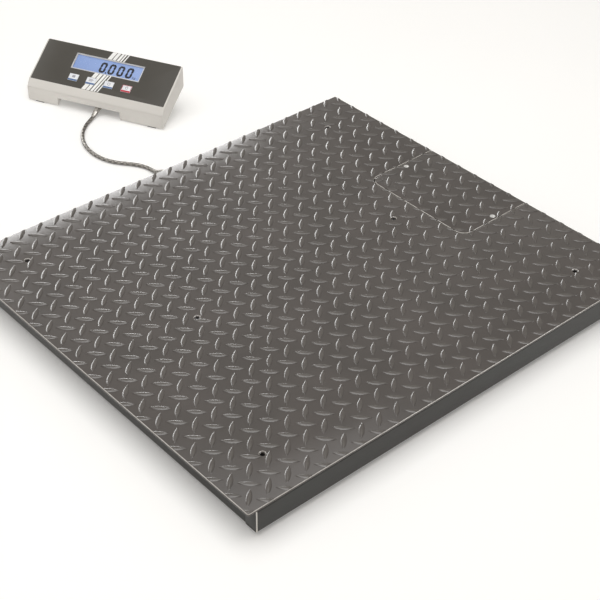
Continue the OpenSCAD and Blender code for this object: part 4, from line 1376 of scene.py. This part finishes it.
@dataclass
class DisplayCase:
    """The two moulded halves of the display case."""

    width: float = 362.0
    depth: float = 111.0
    seam_h: float = 34.0
    rim_set: float = 12.0
    rim_h: float = 51.0
    tilt: float = 30.0
    rear_low: float = 57.0
    wall: float = 3.0
    gap: float = 0.3
    corner_r: float = 2.0
    recess: tuple[float, float] = (83.0, 248.0)
    recess_h: float = 20.0
    recess_d: float = 28.0
    draft: float = 2.0
    window: tuple[float, float, float, float] = (94.0, 52.0, 270.0, 90.0)
    film: tuple[float, float, float, float] = (4.0, 0.5, 358.0, 113.8)
    keys: tuple[float, ...] = (109.6, 156.7, 203.8, 250.9)
    key_y: float = 26.0
    key_size: tuple[float, float] = (25.1, 18.9)
    bay: tuple[float, float, float, float] = (283.0, 38.0, 339.0, 102.0)
    bore_r: float = 5.97
    bore_depth: float = 14.0

    def hull(self, name: str, inset: float, low: float, high: float) -> Thing:
        """A block cut to the case's side outline.

        Args:
            name: Name of the block.
            inset: How far its walls stay inside the case.
            low: How far its underside lies below the case's.
            high: Its greatest height.

        Returns:
            The cut block.
        """
        tilt, slope = math.radians(self.tilt), self.rear_low / self.depth
        piece = Bench.block(name, (inset, inset, -low - 1), (self.width - inset, self.depth - inset, high))
        lift = inset / math.cos(tilt)
        Bench.slice(piece, (0, self.rim_set, self.rim_h - lift), (0, -math.sin(tilt), math.cos(tilt)))
        rise = (self.rim_h - self.seam_h) / self.rim_set
        Bench.slice(piece, (0, inset, self.seam_h - (0.4 if inset else 0)), (0, -rise, 1))
        Bench.slice(piece, (0, 0, -low), (0, slope, -1))
        return piece

    def face_block(self, name: str, area: Sequence[float], low: float, high: float) -> Thing:
        """A block that stands on the display face.

        Args:
            name: Name of the block.
            area: Lowest and highest X and Y on the face.
            low: Its lower side, along the face's normal.
            high: Its upper side.

        Returns:
            The block, in the case's own frame.
        """
        block = Bench.block(name, (area[0], area[1], low), (area[2], area[3], high))
        return Bench.settle(block, PLACES.case().inverted() @ PLACES.on_face())

    def upper(self) -> Thing:
        """Moulds the upper half: rim, face, sides and back."""
        shell = self.hull("upper_case_half", 0, 0, 112)
        Bench.apply(shell, "BEVEL", width=self.corner_r * MM, segments=4, limit_method="ANGLE",
                    angle_limit=math.radians(20))
        Bench.carve(shell, self.hull("room", self.wall, 12, 112))
        Bench.carve(shell, Bench.block("front", (self.wall, -5, -5),
                                       (self.width - self.wall, self.wall + 0.4, self.seam_h)))
        Bench.carve(shell, self.face_block("film_seat", self.film, -0.4, 9))
        Bench.carve(shell, self.face_block("window", self.window, -9, 9))
        w, h = self.key_size
        for x in self.keys:
            Bench.carve(shell, self.face_block(
                "key_seat", (x - w / 2, self.key_y - h / 2, x + w / 2, self.key_y + h / 2), -9, 9))
        Bench.soften(shell, 0.25, 2, 50)
        return Bench.settle(shell, PLACES.case())

    def lower(self) -> Thing:
        """Moulds the lower half: front wall, sloping floor and the cable recess."""
        x0, x1 = self.wall + self.gap, self.width - self.wall - self.gap
        y1 = self.depth - self.wall - self.gap
        slope = self.rear_low / self.depth
        shell = Bench.block("lower_case_half", (x0, 0, -1), (x1, y1, 80))
        Bench.slice(shell, (0, 0, 0), (0, slope, -1))
        plate = self.wall / math.cos(math.atan(slope))
        room = Bench.block("room", (x0 - 5, self.wall, -5), (x1 + 5, y1 + 5, 90))
        Bench.slice(room, (0, 0, plate), (0, slope, -1))
        front = Bench.block("over_front", (x0 - 5, -5, self.seam_h - self.gap), (x1 + 5, y1 + 5, 90))
        Bench.carve(shell, room)
        Bench.carve(shell, front)
        pocket = self.recess_block("pocket", self.wall)
        Bench.carve(pocket, self.under_block())
        Bench.carve(shell, pocket, "UNION")
        Bench.carve(shell, self.recess_block("recess", 0))
        place = PLACES.case().inverted() @ PLACES.at_outlet()
        bore = Bench.rod("bore", (0, 0, -self.bore_depth), self.bore_r, self.bore_depth + 3.4)
        Bench.carve(shell, Bench.settle(bore, place))
        under = PLACES.case().inverted() @ PLACES.on_underside()
        bay = Bench.block("bay", (*self.bay[:2], -5), (*self.bay[2:], 9))
        Bench.carve(shell, Bench.settle(bay, under))
        Bench.soften(shell, 0.5, 2, 30)
        return Bench.settle(shell, PLACES.case())

    def recess_block(self, name: str, grow: float) -> Thing:
        """The cable recess under the front, or its outside.

        Args:
            name: Name of the block.
            grow: How far every wall moves out.

        Returns:
            The block.
        """
        left, right = self.recess
        low, high = -12.0, 60.0
        block = Bench.block(name, (left - 10, -1, low), (right + 10, self.recess_d + grow, high))
        slope = self.rear_low / self.depth
        lean = 2 * self.draft / (2 * self.recess_h + 24)
        Bench.slice(block, (left - self.draft - grow, 0, low), (-1, 0, lean))
        Bench.slice(block, (right + self.draft + grow, 0, low), (1, 0, lean))
        Bench.slice(block, (0, 0, self.recess_h + grow), (0, -slope, 1))
        return block

    def under_block(self) -> Thing:
        """Everything under the case's sloping underside or in front of it."""
        slope = self.rear_low / self.depth
        block = Bench.block("under", (0, -20, -60), (self.width, self.depth + 40, 100))
        return Bench.slice(block, (0, 0, 0), (0, -slope, 1))

    def build(self) -> None:
        """Makes both halves."""
        hand_over(self.upper(), Surface.SHELL, "platform", "upper_shell")
        hand_over(self.lower(), Surface.SHELL, "platform", "lower_shell")


class KeySign(Enum):
    """What each key shows: plain signs without lettering."""

    SHEET = "sheet"
    BARS = "bars"
    RING = "ring"
    POWER = "power"


@dataclass
class DisplayFace:
    """The film, window, screen and keys on the tilted face."""

    film: tuple[float, float, float, float] = (4.0, 0.5, 358.0, 113.8)
    film_low: float = -0.4
    film_top: float = 0.2
    window: tuple[float, float, float, float] = (91.5, 49.5, 272.5, 92.5)
    border: float = 1.1
    print_t: float = 0.06
    print_gap: float = 0.02
    stripe_lean: float = 0.332
    stripes: tuple[tuple[float, float], ...] = (
        (141.3, 152.0), (154.0, 162.5), (165.2, 172.0), (174.0, 178.5), (182.0, 185.5))
    key_w: float = 24.5
    key_h: float = 18.3
    keys: tuple[tuple[str, float, KeySign], ...] = (
        ("key_1", 109.6, KeySign.SHEET), ("key_2", 156.7, KeySign.BARS),
        ("key_3", 203.8, KeySign.RING), ("key_power", 250.9, KeySign.POWER))
    key_y: float = 26.0
    band_h: float = 4.6
    lcd_top: float = -3.2
    lcd_low: float = -5.2
    digit_w: float = 16.5
    digit_h: float = 28.5
    digit_pitch: float = 23.4
    first_digit: tuple[float, float] = (160.6, 55.0)
    stroke: float = 5.4

    def put(self, thing: Thing, surface: Surface, body: str = "platform", *nodes: str) -> Thing:
        """Sets a piece on the face and hands it over.

        Args:
            thing: The piece, made flat.
            surface: Its finish.
            body: The body it rides on.
            *nodes: CAD nodes that it replaces.

        Returns:
            The same piece.
        """
        Bench.settle(thing, PLACES.on_face())
        return hand_over(thing, surface, body, *nodes)

    def area(self, name: str, box: Sequence[float], low: float, high: float, grow: float = 0) -> Thing:
        """A flat block on the face.

        Args:
            name: Name of the block.
            box: Lowest and highest X and Y.
            low: Its lower side.
            high: Its upper side.
            grow: How far its four sides move out.

        Returns:
            The block.
        """
        return Bench.block(name, (box[0] - grow, box[1] - grow, low), (box[2] + grow, box[3] + grow, high))

    def key_print(self) -> tuple[float, float]:
        """Lower and upper level of what is printed on the keys."""
        low = self.film_top + self.print_gap
        return low, low + self.print_t

    def key_box(self, x: float) -> tuple[float, float, float, float]:
        """The outline of the key at one place."""
        w, h = self.key_w / 2, self.key_h / 2
        return x - w, self.key_y - h, x + w, self.key_y + h

    def film_sheet(self) -> None:
        """Cuts the dark film round its window and keys."""
        film = self.area("printed_film", self.film, self.film_low, self.film_top)
        corners = self.film
        Bench.round_edges(film, 2.0, lambda p: min(abs(p.x - corners[0]), abs(p.x - corners[2])) < 0.1
                          and min(abs(p.y - corners[1]), abs(p.y - corners[3])) < 0.1, 5)
        Bench.carve(film, self.area("window", self.window, -3, 3))
        for _, x, _ in self.keys:
            Bench.carve(film, self.area("key", self.key_box(x), -3, 3, 0.3))
        Bench.soften(film, 0.12, 2)
        self.put(film, Surface.FILM, "platform", "front_film")

    def stripe_print(self) -> None:
        """Prints the five slanting stripes, broken by the window and the keys."""
        low, high = self.film_top, self.film_top + self.print_t
        made = []
        for left, right in self.stripes:
            box = (left - 2, self.film[1] + 0.4, right + 45, self.film[3] - 0.4)
            stripe = self.area("stripe", box, low, high)
            Bench.slice(stripe, (left, 0, 0), (-1, self.stripe_lean, 0))
            Bench.slice(stripe, (right, 0, 0), (1, -self.stripe_lean, 0))
            made.append(stripe)
        print_ = Bench.join("stripe_print", made)
        Bench.carve(print_, self.area("window", self.window, -3, 3, 0.15))
        for _, x, _ in self.keys:
            Bench.carve(print_, self.area("key", self.key_box(x), -3, 3, 0.5))
        Bench.soften(print_, 0.02, 1)
        self.put(print_, Surface.WHITE_INK)

    def screen(self) -> None:
        """Makes the window, its border, the lit glass and what it shows."""
        pane = self.area("window_sheet", self.window, self.film_low, self.film_top, -0.05)
        Bench.soften(pane, 0.15, 2)
        self.put(pane, Surface.PANE, "platform", "window_pane")
        border = self.area("window_border", self.window, self.film_top, self.film_top + self.print_t)
        Bench.carve(border, self.area("inner", self.window, -3, 3, -self.border))
        Bench.soften(border, 0.02, 1)
        self.put(border, Surface.PALE_INK)
        glass = self.area("lit_glass", self.window, self.lcd_low, self.lcd_top, 2)
        Bench.soften(glass, 0.2, 2)
        self.put(glass, Surface.SCREEN, "platform", "lcd_glass")
        self.put(self.digits(), Surface.SEGMENT)

    def bar(self, x: float, y: float, length: float, upright: bool) -> Thing:
        """One segment with pointed ends.

        Args:
            x: Its middle across the face.
            y: Its middle up the face.
            length: Its length.
            upright: True if it stands up the face.

        Returns:
            The segment.
        """
        a, b = length / 2, self.stroke / 2
        bar = Bench.block("segment", (-a, -b, self.lcd_top), (a, b, self.lcd_top + self.print_t))
        Bench.round_edges(bar, b * 0.75, lambda p: abs(p.x) > a - 0.1 and abs(p.y) > b - 0.1, 1)
        turn = Matrix.Rotation(math.pi / 2 if upright else 0, 4, "Z")
        return Bench.settle(bar, Matrix.Translation((x * MM, y * MM, 0)) @ turn)

    def digits(self) -> Thing:
        """Sets four noughts, a point and the unit.

        Returns:
            All the dark segments as one piece.
        """
        made = []
        w, h, s = self.digit_w - self.stroke, self.digit_h - self.stroke, self.stroke
        for i in range(4):
            x0, y0 = self.first_digit[0] + i * self.digit_pitch + s / 2, self.first_digit[1] + s / 2
            for y in (0, h):
                made.append(self.bar(x0 + w / 2, y0 + y, w + 1.2, False))
            for x in (0, w):
                for k in (0.25, 0.75):
                    made.append(self.bar(x0 + x, y0 + k * h, h / 2 + 0.4, True))
        x, y = self.first_digit[0] + self.digit_w + 1.8, self.first_digit[1]
        made.append(Bench.block("point", (x, y, self.lcd_top), (x + 3.4, y + 3.4, self.lcd_top + self.print_t)))
        lean = Matrix.Identity(4)
        lean[0][1] = 0.055
        lean[0][3] = -0.055 * y * MM
        digits = Bench.join("lcd_digits", made)
        digits.data.transform(lean)
        return Bench.join("lcd_digits", [digits, self.unit()])

    def unit(self) -> Thing:
        """Sets the small unit of mass beside the last digit."""
        x = self.first_digit[0] + 4 * self.digit_pitch - 3.5
        bpy.ops.object.text_add(location=(x * MM, (self.first_digit[1] + 1.6) * MM, self.lcd_top * MM))
        text = bpy.context.object
        text.data.body = "kg"
        text.data.size = 9.5 * MM
        text.data.extrude = self.print_t / 2 * MM
        Bench.take(text)
        bpy.ops.object.convert(target="MESH")
        return Bench.settle(bpy.context.object, Matrix.Translation((0, 0, self.print_t / 2 * MM)))

    def sign(self, kind: KeySign, x: float) -> Thing:
        """Cuts the print of one key's sign.

        Args:
            kind: Which sign.
            x: Middle of the key.

        Returns:
            The sign, just over the key's top.
        """
        low, high = self.key_print()
        y = self.key_y + 2.2
        if kind is KeySign.SHEET:
            bars = [(x - 4, y - 3, x + 4, y + 3.4)]
        elif kind is KeySign.BARS:
            bars = [(x - 6, y + k - 0.7, x + 6 - w, y + k + 0.7) for k, w in ((-2.4, 3), (0, 0), (2.4, 3))]
        else:
            bars = []
        made = [self.area("bar", box, low, high) for box in bars]
        if kind in (KeySign.RING, KeySign.POWER):
            ring = Bench.rod("ring", (x, y, low), 3.9, high - low, 32)
            Bench.carve(ring, Bench.rod("inside", (x, y, low - 1), 2.6, 3, 32))
            made.append(ring)
        if kind is KeySign.POWER:
            Bench.carve(made[0], self.area("slot", (x - 1.4, y + 1, x + 1.4, y + 6), low - 1, high + 1))
            made.append(self.area("bar", (x - 0.6, y + 0.6, x + 0.6, y + 5), low, high))
        return Bench.join("sign", made)

    def key(self, node: str, x: float, kind: KeySign) -> None:
        """Makes one key: top with its plunger, coloured band and sign.

        Args:
            node: The key's node and body.
            x: Middle of the key.
            kind: The sign on it.
        """
        box = self.key_box(x)
        top = Bench.from_node(node, f"{node}_top", 0.15)
        hand_over(top, Surface.KEY_TOP, node, node)
        power = kind is KeySign.POWER
        low, high = self.key_print()
        band = self.area("band", (box[0] + 0.3, box[1] + 0.3, box[2] - 0.3, box[1] + self.band_h), low, high)
        if power:
            rim = self.area("rim", box, low, high, -0.3)
            inner = (box[0] + 1.3, box[1] + 2, box[2] - 1.3, box[3] - 1.3)
            Bench.carve(rim, self.area("inner", inner, low - 1, high + 1))
            band = Bench.carve(band, rim, "UNION")
        Bench.name(Bench.soften(band, 0.02, 1), f"{node}_band")
        self.put(band, Surface.RED_INK if power else Surface.BLUE_INK, node)
        sign = Bench.name(self.sign(kind, x), f"{node}_sign")
        self.put(sign, Surface.GREY_INK, node)

    def build(self) -> None:
        """Makes everything on the face."""
        self.film_sheet()
        self.stripe_print()
        self.screen()
        for node, x, kind in self.keys:
            self.key(node, x, kind)


def main() -> None:
    """Builds the studio and the scale."""
    Studio().build()
    SignalCable().build()
    Deck().build()
    Skirt().build()
    HiddenWorks().build()
    DisplayCase().build()
    DisplayFace().build()


if __name__ == "__main__":
    main()
